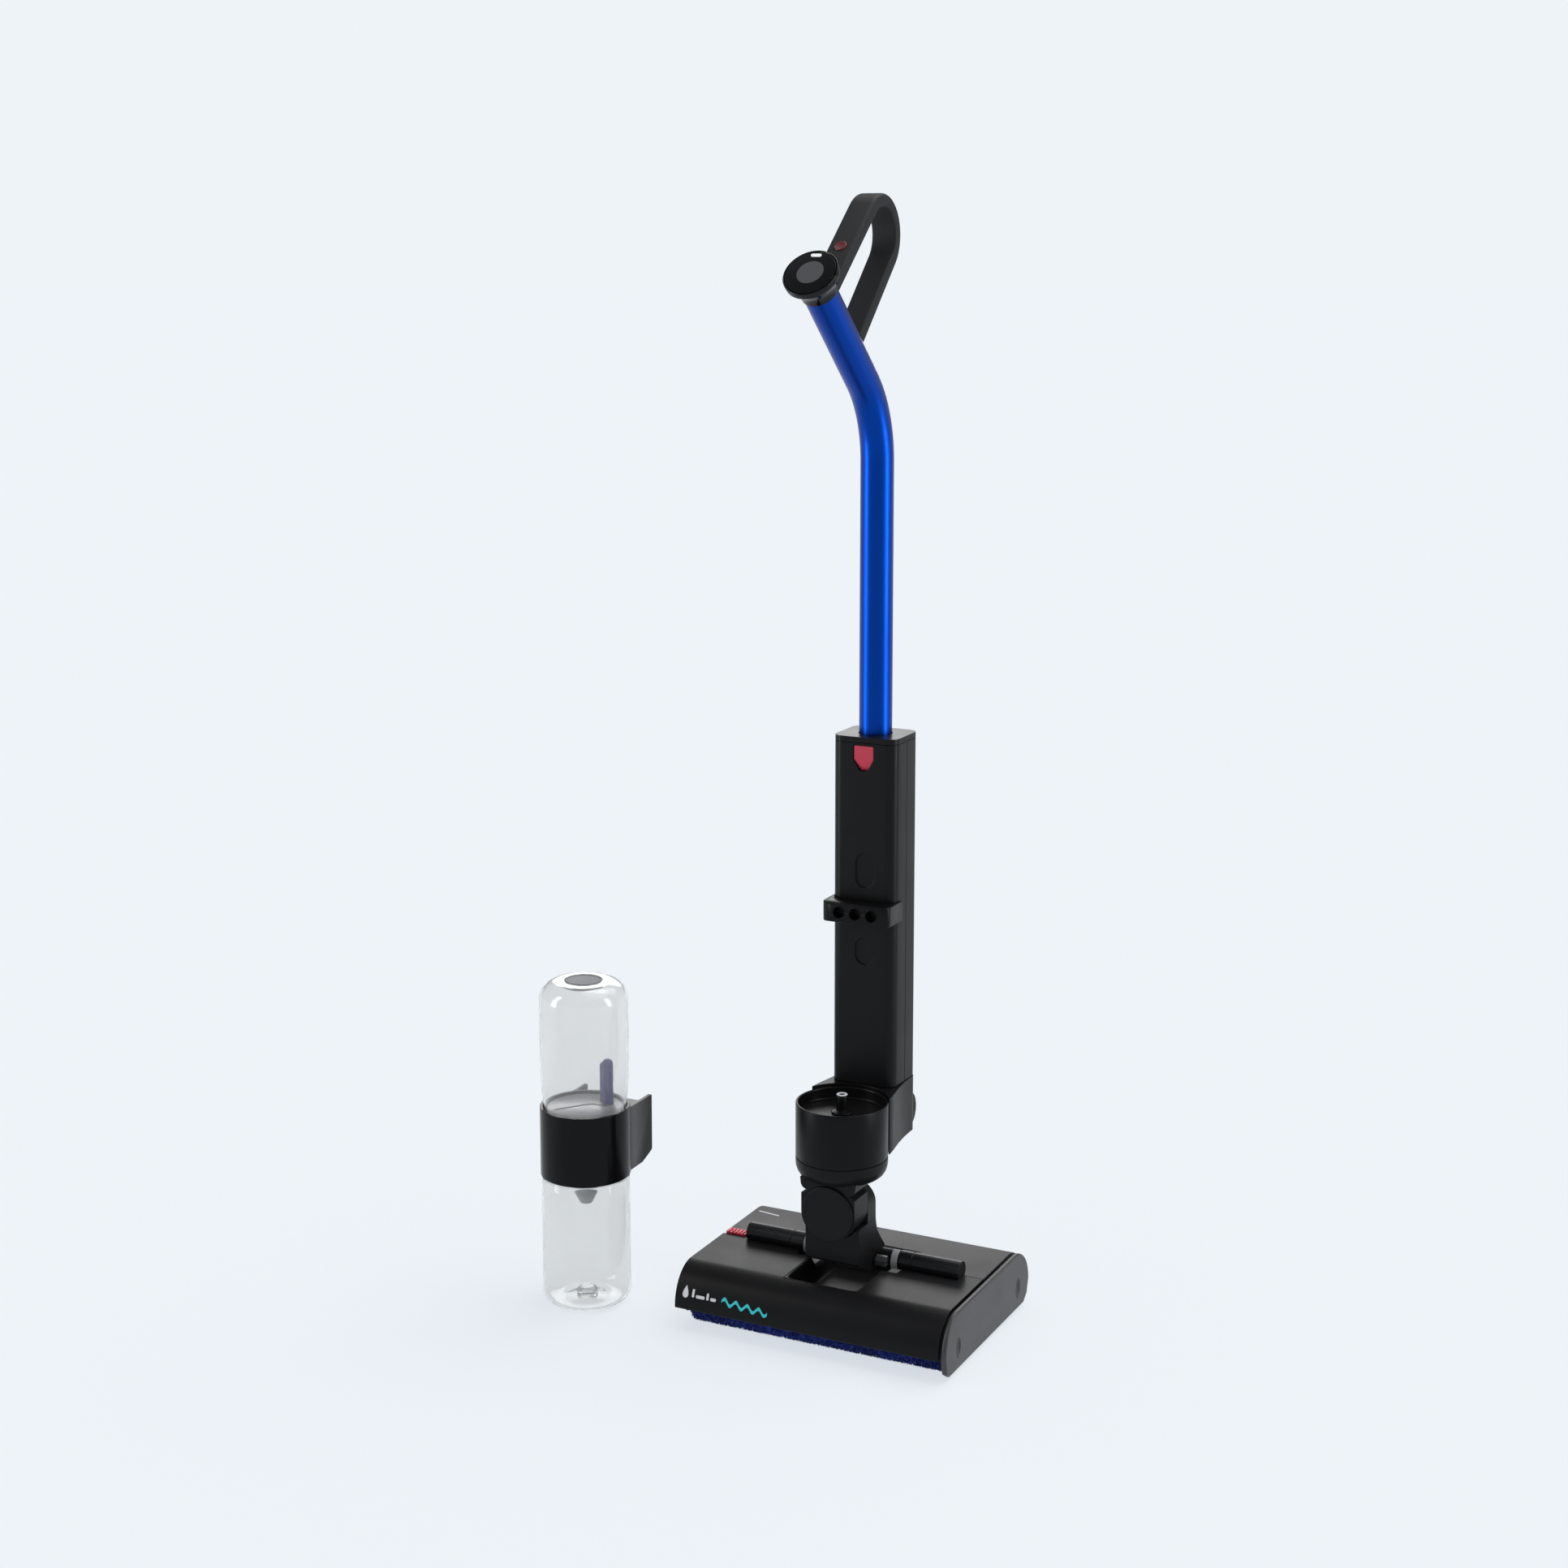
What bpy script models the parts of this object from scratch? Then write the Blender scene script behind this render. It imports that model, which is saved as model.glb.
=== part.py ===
"""Upright cordless wet floor scrubber with its two-bottle tank unit standing beside it.

Metres, +Z up. Everything is drawn from a point on the floor under the middle of the cleaning
head, and then moved so that the origin is under the middle of the whole set. +X is the
machine's right, and -Y is the side with the controls, where the user stands.
"""
import math

import bmesh
import bpy
from mathutils import Matrix, Vector

# ---- driving dimensions -------------------------------------------------------------------
GAP = 0.0003                    # clearance between touching pieces
HEAD_PLACE = (0.0832, 0.01025, 0)   # the head's middle, from the middle of the whole set

HEAD_HALF_WIDTH = 0.150
HEAD_TOP = 0.0635
HEAD_WALL = 0.0025
HEAD_SEAM_Y = 0.004             # where the front shell meets the rear cover
SHELL_END_X = 0.1417            # where the shells and the frame stop, at the right
CAP_INNER_X = 0.1444            # inner face of the removable end cap
NOSE_CENTRE = (-0.077, 0.024)   # centre of the front shell's rounded nose, Y and Z
NOSE_SIZE = (0.035, 0.0395)
TAIL_CENTRE = (0.074, 0.026)
TAIL_SIZE = (0.038, 0.0375)

ROLLER_Y = 0.080                # both roller axes, in front of and behind the middle
ROLLER_RADIUS = 0.0223
ROLLER_HEIGHT = 0.0223
ROLLER_CORE_RADIUS = 0.0140
ROLLER_HALF_LENGTH = 0.139
BRISTLE_Y = 0.048
BRISTLE_RADIUS = 0.0094

HINGE_Z = 0.069                 # the axis that the wand reclines about runs along X here
HINGE_BAR_RADIUS = 0.0105
HINGE_BAR_SPAN = (0.054, 0.120)
WELL_HALF_WIDTH = 0.058

SWIVEL_Z = 0.132                # the axis that the neck leans about runs along Y here
NECK_HALF_WIDTH = 0.0297
NECK_FRONT_Y = -0.064
NECK_BACK_Y = -0.0325

CUP_Y = -0.031
CUP_RADIUS = 0.047
CUP_BOTTOM = 0.1833
CUP_FLOOR = 0.228
CUP_RIM = 0.240

TOWER_HALF_WIDTH = 0.035
TOWER_FRONT_Y = 0.016
TOWER_BACK_Y = 0.076
TOWER_CORNER = 0.011
TOWER_WALL = 0.0025
TOWER_BOTTOM = 0.2433
TOWER_TOP = 0.600
CAP_TOP = 0.606

TUBE_RADIUS = 0.0168
TUBE_WALL = 0.0018
TUBE_Y = 0.046
TUBE_BOTTOM = 0.498
BEND_START_Z = 0.880
BEND_RADIUS = 0.112
BEND_ANGLE = math.radians(48)
DISPLAY_REACH = 0.158           # from the end of the bend to the face of the display
DISPLAY_RADIUS = 0.0275

LOOP_CENTRE = (0.031, 1.103)    # centre of the round end of the handle loop, Y and Z
LOOP_RADIUS = 0.034
LOOP_THICKNESS = 0.013
LOOP_WIDTH = 0.027
FRONT_ARM_ANGLE = math.radians(41)
REAR_ARM_ANGLE = math.radians(45)
ARM_LENGTH = 0.118
BUTTON_DOWN_ARM = 0.062         # from the loop's round end, down the front arm

TANK_X = -0.2694
TANK_Y = -0.0855
BOTTLE_RADIUS = 0.046
BOTTLE_WALL = 0.0022
NECK_RADIUS = 0.0430
BAND_RADIUS = 0.047
BAND_BOTTOM = 0.138
BAND_TOP = 0.212
SADDLE_INNER = 0.0374
SADDLE_OUTER = 0.0410
SADDLE_REACH = 0.0685

# ---- colours: red, green, blue, roughness, metallic ----------------------------------------
FINISHES = {
    "black_plastic": (0.020, 0.020, 0.022, 0.42, 0.0),
    "charcoal_plastic": (0.075, 0.070, 0.072, 0.50, 0.0),
    "gloss_black": (0.010, 0.010, 0.011, 0.12, 0.0),
    "navy_microfibre": (0.008, 0.020, 0.120, 0.95, 0.0),
    "blue_tube": (0.010, 0.080, 0.450, 0.28, 0.9),
    "red_plastic": (0.620, 0.030, 0.080, 0.35, 0.0),
    "clear_plastic": (0.850, 0.880, 0.900, 0.08, 0.0),
    "grey_plastic": (0.180, 0.180, 0.190, 0.45, 0.0),
    "violet_plastic": (0.050, 0.050, 0.160, 0.35, 0.0),
    "soft_grip": (0.040, 0.040, 0.042, 0.85, 0.0),
    "black_rubber": (0.015, 0.015, 0.015, 0.80, 0.0),
    "steel": (0.550, 0.550, 0.560, 0.30, 1.0),
    "board_green": (0.020, 0.120, 0.050, 0.50, 0.0),
    "white_lamp": (0.850, 0.850, 0.880, 0.30, 0.0),
}

for old_object in list(bpy.data.objects):
    bpy.data.objects.remove(old_object, do_unlink=True)

PARTS = bpy.data.collections.new("wet_floor_scrubber")
CUTTERS = bpy.data.collections.new("wet_floor_scrubber_cutters")
for collection in (PARTS, CUTTERS):
    bpy.context.scene.collection.children.link(collection)

# Directions of an outline's own x, y and depth, for a prism along each world axis.
PRISM_AXES = {
    "X": Matrix(((0, 0, 1), (1, 0, 0), (0, 1, 0))),
    "Y": Matrix(((1, 0, 0), (0, 0, -1), (0, 1, 0))),
    "Z": Matrix.Identity(3),
}


# ---- materials and modelling helpers --------------------------------------------------------
def finish(name):
    """The material of a finish, made the first time that it is asked for."""
    material = bpy.data.materials.get(name)
    if material is None:
        red, green, blue, roughness, metallic = FINISHES[name]
        material = bpy.data.materials.new(name)
        material.use_nodes = True
        shader = material.node_tree.nodes["Principled BSDF"]
        shader.inputs["Base Color"].default_value = (red, green, blue, 1)
        shader.inputs["Roughness"].default_value = roughness
        shader.inputs["Metallic"].default_value = metallic
        material.diffuse_color = (red, green, blue, 1)
    return material


def place_mesh(name, mesh, look):
    """Link a mesh as a part, or as a cutter when it has no look."""
    piece = bpy.data.objects.new(name, mesh)
    if look:
        mesh.materials.append(finish(look))
        PARTS.objects.link(piece)
    else:
        CUTTERS.objects.link(piece)
        piece.hide_render = True
        piece.display_type = "WIRE"
    return piece


def shade(piece, degrees=35):
    """Smooth shading that keeps edges sharper than the given angle."""
    piece.data.shade_smooth()
    piece.data.set_sharp_from_angle(angle=math.radians(degrees))
    return piece


def bevel(piece, width, segments=2):
    """Round the sharp edges of a piece."""
    modifier = piece.modifiers.new("rounded_edges", "BEVEL")
    modifier.width = width
    modifier.segments = segments
    modifier.limit_method = "ANGLE"
    modifier.angle_limit = math.radians(40)
    return piece


def block(name, look, low, high, rounding=0.0):
    """A box between two corners, with its edges rounded if asked."""
    low, high = Vector(low), Vector(high)
    mesh = bpy.data.meshes.new(name)
    form = bmesh.new()
    bmesh.ops.create_cube(form, size=1.0)
    size = high - low
    bmesh.ops.transform(form, matrix=Matrix.Diagonal((*size, 1)), verts=form.verts)
    bmesh.ops.translate(form, vec=(low + high) / 2, verts=form.verts)
    form.to_mesh(mesh)
    form.free()
    piece = place_mesh(name, mesh, look)
    if rounding:
        bevel(piece, rounding)
    return piece


def rod(name, look, start, end, radius, sides=24):
    """A round bar between two points."""
    start, end = Vector(start), Vector(end)
    along = end - start
    mesh = bpy.data.meshes.new(name)
    form = bmesh.new()
    bmesh.ops.create_cone(form, cap_ends=True, segments=sides, radius1=radius,
                          radius2=radius, depth=along.length)
    turn = along.to_track_quat("Z", "Y").to_matrix().to_4x4()
    bmesh.ops.transform(form, matrix=Matrix.Translation((start + end) / 2) @ turn,
                        verts=form.verts)
    form.to_mesh(mesh)
    form.free()
    return shade(place_mesh(name, mesh, look))


def prism(name, look, outlines, axis, start, end):
    """A flat outline, with any holes, stretched along a world axis from start to end.

    Outline points are (y, z) for X, (x, z) for Y and (x, y) for Z.
    """
    curve = bpy.data.curves.new(name, "CURVE")
    curve.dimensions = "2D"
    curve.fill_mode = "BOTH"
    curve.extrude = (end - start) / 2
    for outline in outlines:
        spline = curve.splines.new("POLY")
        spline.points.add(len(outline) - 1)
        for point, (across, up) in zip(spline.points, outline):
            point.co = (across, up, 0, 1)
        spline.use_cyclic_u = True
    guide = bpy.data.objects.new(name + "_outline", curve)
    middle = Vector([(start + end) / 2 if axis == letter else 0 for letter in "XYZ"])
    guide.matrix_world = Matrix.Translation(middle) @ PRISM_AXES[axis].to_4x4()
    return meshed(name, look, guide)


def meshed(name, look, guide):
    """Turn a curve object into a welded mesh piece in world space, and remove the curve."""
    PARTS.objects.link(guide)
    bpy.context.view_layer.update()
    evaluated = guide.evaluated_get(bpy.context.evaluated_depsgraph_get())
    mesh = bpy.data.meshes.new_from_object(evaluated)
    mesh.materials.clear()
    mesh.transform(guide.matrix_world)
    form = bmesh.new()
    form.from_mesh(mesh)
    bmesh.ops.remove_doubles(form, verts=form.verts, dist=0.00001)
    bmesh.ops.recalc_face_normals(form, faces=form.faces)
    form.to_mesh(mesh)
    form.free()
    bpy.data.objects.remove(guide, do_unlink=True)
    return shade(place_mesh(name, mesh, look))


def turned(name, look, profile, place, direction=(0, 0, 1), steps=32, closed=False):
    """A turned solid: (radius, height) points that run down its outer side."""
    mesh = bpy.data.meshes.new(name)
    edges = [(i, i + 1) for i in range(len(profile) - 1)]
    if closed:
        edges.append((len(profile) - 1, 0))
    mesh.from_pydata([(radius, 0, height) for radius, height in profile], edges, [])
    piece = place_mesh(name, mesh, look)
    piece.location = place
    piece.rotation_euler = Vector(direction).to_track_quat("Z", "Y").to_euler()
    screw = piece.modifiers.new("turned", "SCREW")
    screw.axis = "Z"
    screw.steps = steps
    screw.render_steps = steps
    screw.use_merge_vertices = True
    screw.merge_threshold = 0.00001
    screw.use_smooth_shade = True
    return piece


def change(piece, other, operation):
    """Cut or join a piece by another mesh, which then counts as a cutter."""
    modifier = piece.modifiers.new(operation.lower() + "_" + other.name, "BOOLEAN")
    modifier.operation = operation
    modifier.solver = "EXACT"
    modifier.object = other
    return piece


def cut(piece, *cutters):
    for cutter in cutters:
        change(piece, cutter, "DIFFERENCE")
    return piece


def join(piece, *additions):
    for addition in additions:
        change(piece, addition, "UNION")
    return piece


def arc(centre, size, first, last, count):
    """Points on an ellipse between two angles in degrees."""
    angles = [math.radians(first + (last - first) * i / count) for i in range(count + 1)]
    return [(centre[0] + size[0] * math.cos(a), centre[1] + size[1] * math.sin(a))
            for a in angles]


def rounded_rectangle(half_width, low, high, corner, count=5):
    """Outline of a rounded rectangle centred on x = 0, from y = low to y = high."""
    size = (corner, corner)
    inner = half_width - corner
    return (arc((inner, low + corner), size, -90, 0, count)
            + arc((inner, high - corner), size, 0, 90, count)
            + arc((-inner, high - corner), size, 90, 180, count)
            + arc((-inner, low + corner), size, 180, 270, count))


# ---- cleaning head --------------------------------------------------------------------------
def nose(inset, count=8):
    """The front shell's rounded nose, from its lower edge to the flat top."""
    size = (NOSE_SIZE[0] - inset, NOSE_SIZE[1] - inset)
    return arc(NOSE_CENTRE, size, 180, 90, count)


def tail(inset, count=8):
    """The rear cover's rounded tail, from the flat top to its lower edge."""
    size = (TAIL_SIZE[0] - inset, TAIL_SIZE[1] - inset)
    return arc(TAIL_CENTRE, size, 90, 0, count)


def head_shells():
    """The black front shell and the charcoal rear cover, with the opening for the neck."""
    lower_edge = 0.022
    front_y = NOSE_CENTRE[0] - NOSE_SIZE[0]
    seam = HEAD_SEAM_Y - GAP / 2
    outline = ([(front_y, lower_edge)] + nose(0) + [(seam, HEAD_TOP)]
               + [(seam, HEAD_TOP - HEAD_WALL)] + nose(HEAD_WALL)[::-1]
               + [(front_y + HEAD_WALL, lower_edge)])
    end = SHELL_END_X
    front = prism("front_shell", "black_plastic", [outline], "X", -HEAD_HALF_WIDTH, end)
    seam = HEAD_SEAM_Y + GAP / 2
    outline = ([(seam, HEAD_TOP)] + tail(0) + tail(HEAD_WALL)[::-1]
               + [(seam, HEAD_TOP - HEAD_WALL)])
    rear = prism("rear_cover", "charcoal_plastic", [outline], "X", -HEAD_HALF_WIDTH, end)
    opening = block("neck_opening", None, (-WELL_HALF_WIDTH, -0.0822, 0.0500),
                    (WELL_HALF_WIDTH, 0.0400, 0.0800))
    notch = block("tab_notch", None, (-0.152, -0.0042, 0.050), (-0.1208, 0.0082, 0.080))
    cut(front, opening, notch)
    cut(rear, opening, notch)
    return front, rear


def neck_well():
    """The basin under the neck that it reclines into."""
    slope = [(-0.0818, 0.0618), (-0.0785, 0.0500), (-0.0580, 0.0385), (-0.0500, 0.0360),
             (0.0380, 0.0360), (0.0396, 0.0605)]
    skin = 0.0015
    half = WELL_HALF_WIDTH - GAP
    body = [(y, z - skin) for y, z in slope]
    rim = [(0.0396, 0.0630), (-0.0818, 0.0630)]
    basin = prism("neck_well", "black_plastic", [body + rim], "X", -half, half)
    hollow = prism("well_hollow", None, [slope + [(0.0381, 0.070), (-0.0830, 0.070)]],
                   "X", skin - half, half - skin)
    return cut(basin, hollow)


def plate_outline(inset, foot):
    """The head's side outline, as its two end plates have it."""
    front_foot = (-0.1010, foot)
    rear_foot = (0.0960, foot)
    return [front_foot] + nose(inset) + tail(inset) + [(0.1010, 0.0120 + foot / 2), rear_foot]


def end_plates():
    """The fixed bearing plates at both ends, and the removable end cap with its dimples."""
    left = prism("left_end_plate", "black_plastic", [plate_outline(0.0030, 0.005)], "X",
                 -0.1470, -0.1430)
    heel = block("left_plate_heel", None, (-0.150, -0.120, 0), (-0.140, -0.0945, 0.0220))
    toe = block("left_plate_toe", None, (-0.150, -0.120, 0), (-0.140, -0.0600, 0.0125))
    cut(left, heel, toe)
    right = prism("right_bearing_plate", "black_plastic", [plate_outline(0.0030, 0.005)], "X",
                  SHELL_END_X + GAP, CAP_INNER_X - GAP)
    cut(right, block("tray_window", None, (0.140, -0.0374, 0.0055), (0.146, 0.0374, 0.0295)))
    cap = prism("right_end_cap", "charcoal_plastic", [plate_outline(0, 0.0035)], "X",
                CAP_INNER_X, HEAD_HALF_WIDTH)
    for side, y in (("front", -1), ("rear", 1)):
        for kind, axle_y, radius in (("roller", ROLLER_Y, 0.0043),
                                     ("bristle", BRISTLE_Y, 0.0033)):
            centre_y = y * axle_y
            cut(left, rod(f"{side}_{kind}_left_bore", None, (-0.149, centre_y, ROLLER_HEIGHT),
                          (-0.141, centre_y, ROLLER_HEIGHT), radius))
            cut(right, rod(f"{side}_{kind}_right_bore", None,
                           (0.1400, centre_y, ROLLER_HEIGHT),
                           (0.1460, centre_y, ROLLER_HEIGHT), radius))
        cut(cap, rod(f"{side}_finger_dimple", None, (0.1482, y * ROLLER_Y, ROLLER_HEIGHT),
                     (0.1520, y * ROLLER_Y, ROLLER_HEIGHT), 0.0055))
    return left, right, cap


def chassis():
    """The head's frame: a roof over the two debris trays, with a rib between them."""
    wall = 0.0383
    outline = [(-wall, 0.0080), (-wall, 0.0320), (wall, 0.0320), (wall, 0.0080),
               (wall - 0.0015, 0.0080), (wall - 0.0015, 0.0290), (0.0015, 0.0290),
               (0.0015, 0.0080), (-0.0015, 0.0080), (-0.0015, 0.0290),
               (0.0015 - wall, 0.0290), (0.0015 - wall, 0.0080)]
    return prism("chassis", "black_plastic", [outline], "X", -0.1427, SHELL_END_X)


def debris_tray(name, side):
    """A trough that catches what the bristle roller combs out; it slides out sideways."""
    near, far = sorted((side * 0.0020, side * 0.0364))
    low = (-0.1380, near, 0.0065)
    tray = block(name, "grey_plastic", low, (CAP_INNER_X - GAP, far, 0.0285))
    hollow = block(name + "_hollow", None, (-0.1365, near + 0.0015, 0.0080),
                   (0.1426, far - 0.0015, 0.0400))
    return cut(tray, hollow)


def cleaning_roller(name, y):
    """A microfibre roller: a plastic core with end journals, and its pile sleeve."""
    core = rod(name + "_core", "grey_plastic", (-0.1415, y, ROLLER_HEIGHT),
               (0.1405, y, ROLLER_HEIGHT), ROLLER_CORE_RADIUS, 32)
    journal = rod(name + "_journal", None, (-0.1465, y, ROLLER_HEIGHT),
                  (0.1440, y, ROLLER_HEIGHT), 0.0040)
    join(core, journal)
    sleeve = prism(name + "_sleeve", "navy_microfibre",
                   [arc((y, ROLLER_HEIGHT), (ROLLER_RADIUS,) * 2, 0, 352.5, 47),
                    arc((y, ROLLER_HEIGHT), (ROLLER_CORE_RADIUS + GAP,) * 2, 0, 352.5, 47)],
                   "X", -ROLLER_HALF_LENGTH, ROLLER_HALF_LENGTH)
    return core, sleeve


def bristle_roller(name, y):
    """The nylon bristle roller that combs the microfibre roller clean."""
    brush = rod(name, "black_plastic", (-ROLLER_HALF_LENGTH, y, ROLLER_HEIGHT),
                (ROLLER_HALF_LENGTH, y, ROLLER_HEIGHT), BRISTLE_RADIUS)
    journal = rod(name + "_journal", None, (-0.1465, y, ROLLER_HEIGHT),
                  (0.1440, y, ROLLER_HEIGHT), 0.0030)
    return join(brush, journal)


def hinge_bar(name, side):
    """One of the two long bearing covers that the neck hinges between."""
    inner, outer = (side * x for x in HINGE_BAR_SPAN)
    bar = rod(name, "gloss_black", (inner, 0, HINGE_Z), (outer, 0, HINGE_Z), HINGE_BAR_RADIUS)
    below = block(name + "_foot_cut", None, (-0.130, -0.020, 0.050),
                  (0.130, 0.020, HEAD_TOP + GAP))
    bore = rod(name + "_bore", None, (side * 0.050, 0, HINGE_Z), (side * 0.067, 0, HINGE_Z),
               0.0028, 16)
    return cut(bar, below, bore)


def head_release_tab():
    """The red tab on the seam that frees the end cap."""
    return block("head_release_tab", "red_plastic", (-0.1480, -0.0038, 0.0612),
                 (-0.1248, 0.0078, 0.0668), 0.0012)


# ---- neck -----------------------------------------------------------------------------------
def yoke():
    """The cross block that reclines on the hinge bars and carries the swivel pin."""
    outline = ([(-0.0540, 0.0770), (-0.0540, 0.1155), (-0.0125, 0.1155), (-0.0085, 0.1010),
                (0.0010, 0.0890)] + arc((0, HINGE_Z), (0.0145, 0.0145), 60, -135, 10))
    body = prism("yoke", "black_plastic", [outline], "X", -0.030, 0.030)
    barrel = rod("yoke_barrel", None, (-0.0537, 0, HINGE_Z), (0.0537, 0, HINGE_Z), 0.0100)
    column = prism("yoke_column", None,
                   [[(-0.0298, 0.100), (0.0298, 0.100)]
                    + arc((0, SWIVEL_Z), (0.0298, 0.0240), 0, 180, 14)],
                   "Y", -0.0318, -0.0120)
    seat = rod("yoke_seat", None, (0, -0.075, SWIVEL_Z), (0, -0.0319, SWIVEL_Z),
               NECK_HALF_WIDTH + 0.0012, 40)
    bore = rod("yoke_pin_bore", None, (-0.060, 0, HINGE_Z), (0.060, 0, HINGE_Z), 0.0028, 16)
    return cut(join(body, barrel, column), seat, bore)


def neck_pins():
    """The steel hinge pin along X, and the steel swivel pin along Y."""
    hinge = rod("hinge_pin", "steel", (-0.0660, 0, HINGE_Z), (0.0660, 0, HINGE_Z), 0.0025, 16)
    swivel = rod("swivel_pin", "steel", (0, -0.0610, SWIVEL_Z), (0, -0.0322, SWIVEL_Z), 0.0060)
    return hinge, swivel


def detent_clip(name, side):
    """A sprung clip beside the yoke that holds the machine upright."""
    inner, outer = sorted((side * 0.0315, side * 0.0435))
    return block(name, "grey_plastic", (inner, -0.0190, 0.0660), (outer, -0.0105, 0.0760), 0.001)


def neck_housing():
    """The swivelling neck block and the collar that the cup stands on."""
    sides = [(NECK_HALF_WIDTH, 0.1540), (0.0310, 0.1670), (-0.0310, 0.1670),
             (-NECK_HALF_WIDTH, 0.1540)]
    outline = arc((0, SWIVEL_Z), (NECK_HALF_WIDTH,) * 2, 180, 360, 16) + sides
    body = prism("neck_housing", "black_plastic", [outline], "Y", NECK_FRONT_Y, NECK_BACK_Y)
    collar = turned("neck_collar", None, [(0, 0.1830), (CUP_RADIUS, 0.1830), (0.0465, 0.1735),
                                          (0.0440, 0.1675), (0.0400, 0.1632), (0, 0.1632)],
                    (0, CUP_Y, 0))
    bore = rod("swivel_bore", None, (0, -0.0615, SWIVEL_Z), (0, -0.0200, SWIVEL_Z), 0.0064)
    return cut(join(body, collar), bore)


def pivot_cap():
    """The round cover over the swivel bearing."""
    return bevel(rod("pivot_cap", "black_plastic", (0, NECK_FRONT_Y - GAP, SWIVEL_Z),
                     (0, -0.0668, SWIVEL_Z), 0.0285, 40), 0.0008, 1)


def tank_cup():
    """The shallow cup that the tank unit stands in, hollow below its floor."""
    wall = 0.0027
    profile = [(0.0075, CUP_FLOOR), (CUP_RADIUS - wall, CUP_FLOOR), (CUP_RADIUS - wall, CUP_RIM),
               (CUP_RADIUS, CUP_RIM), (CUP_RADIUS, CUP_BOTTOM),
               (CUP_RADIUS - wall, CUP_BOTTOM), (CUP_RADIUS - wall, CUP_FLOOR - wall),
               (0.0075, CUP_FLOOR - wall)]
    return turned("tank_cup", "black_plastic", profile, (0, CUP_Y, 0), steps=40, closed=True)


def cup_spigot():
    """The valve stem in the cup floor, and the pale seal on its tip."""
    profile = [(0, 0.2460), (0.0045, 0.2460), (0.0055, 0.2445), (0.0055, CUP_FLOOR + 0.003),
               (0.0110, CUP_FLOOR + 0.002), (0.0110, CUP_FLOOR + GAP),
               (0.0070, CUP_FLOOR + GAP), (0.0070, 0.2150), (0, 0.2150)]
    spigot = turned("cup_spigot", "black_plastic", profile, (0, CUP_Y, 0), steps=20)
    ring = [(0.0042, 0.2480), (0.0056, 0.2475), (0.0056, 0.2463), (0.0030, 0.2463),
            (0.0030, 0.2475)]
    seal = turned("spigot_seal", "white_lamp", ring, (0, CUP_Y, 0), steps=20, closed=True)
    return spigot, seal


def shoulder():
    """The block that carries the tower behind the cup."""
    seat = CUP_RADIUS + 0.0005
    sweep = math.degrees(math.acos(0.043 / seat))
    outline = ([(0.0440, -0.0090), (0.0356, 0.0600)]
               + arc((0.0256, 0.0658), (0.010, 0.010), 0, 90, 4)
               + arc((-0.0256, 0.0658), (0.010, 0.010), 90, 180, 4)
               + [(-0.0356, 0.0600), (-0.0440, -0.0090)]
               + arc((0, CUP_Y), (seat, seat), 180 - sweep, sweep, 16))
    return prism("shoulder", "black_plastic", [outline], "Z", CUP_BOTTOM, 0.2430)


def rear_neck_cover():
    """The rounded cover on the back of the shoulder."""
    outline = [(0.0761, 0.2220), (0.0761, 0.1850)] + arc((0.0800, 0.2000), (0.0175, 0.0200), -90, 75, 8)
    cover = prism("rear_neck_cover", "black_plastic", [outline], "X", -0.027, 0.027)
    return bevel(cover, 0.003)


# ---- tower ----------------------------------------------------------------------------------
def tower_shell(name, front):
    """One half of the hollow tower, open to the other half."""
    count = 5
    middle = (TOWER_FRONT_Y + TOWER_BACK_Y) / 2
    wall = TOWER_WALL
    if front:
        split = middle - GAP / 2
        outer = half_section(TOWER_HALF_WIDTH, TOWER_FRONT_Y, TOWER_CORNER, split, count, 1)
        inner = half_section(TOWER_HALF_WIDTH - wall, TOWER_FRONT_Y + wall,
                             TOWER_CORNER - wall, split, count, 1)
    else:
        split = middle + GAP / 2
        outer = half_section(TOWER_HALF_WIDTH, TOWER_BACK_Y, TOWER_CORNER, split, count, -1)
        inner = half_section(TOWER_HALF_WIDTH - wall, TOWER_BACK_Y - wall,
                             TOWER_CORNER - wall, split, count, -1)
    return prism(name, "black_plastic", [outer + inner[::-1]], "Z", TOWER_BOTTOM, TOWER_TOP)


def half_section(half_width, face, corner, split, count, side):
    """A rounded half section, from the split line round its face and back to the split."""
    centre = face + side * corner
    inner = half_width - corner
    left = [(-x, y) for x, y in arc((inner, centre), (corner, side * corner), 0, -90, count)]
    right = arc((inner, centre), (corner, side * corner), -90, 0, count)
    return [(-half_width, split)] + left + right + [(half_width, split)]


def latch_outline(grow):
    """The pointed red release latch, seen from the front."""
    half, top, shoulder_z, point = 0.0105 + grow, 0.5970 + grow, 0.5830, 0.5720 - grow
    return [(-half, top), (-half, shoulder_z), (-0.004, point), (0.004, point),
            (half, shoulder_z), (half, top)]


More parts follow.
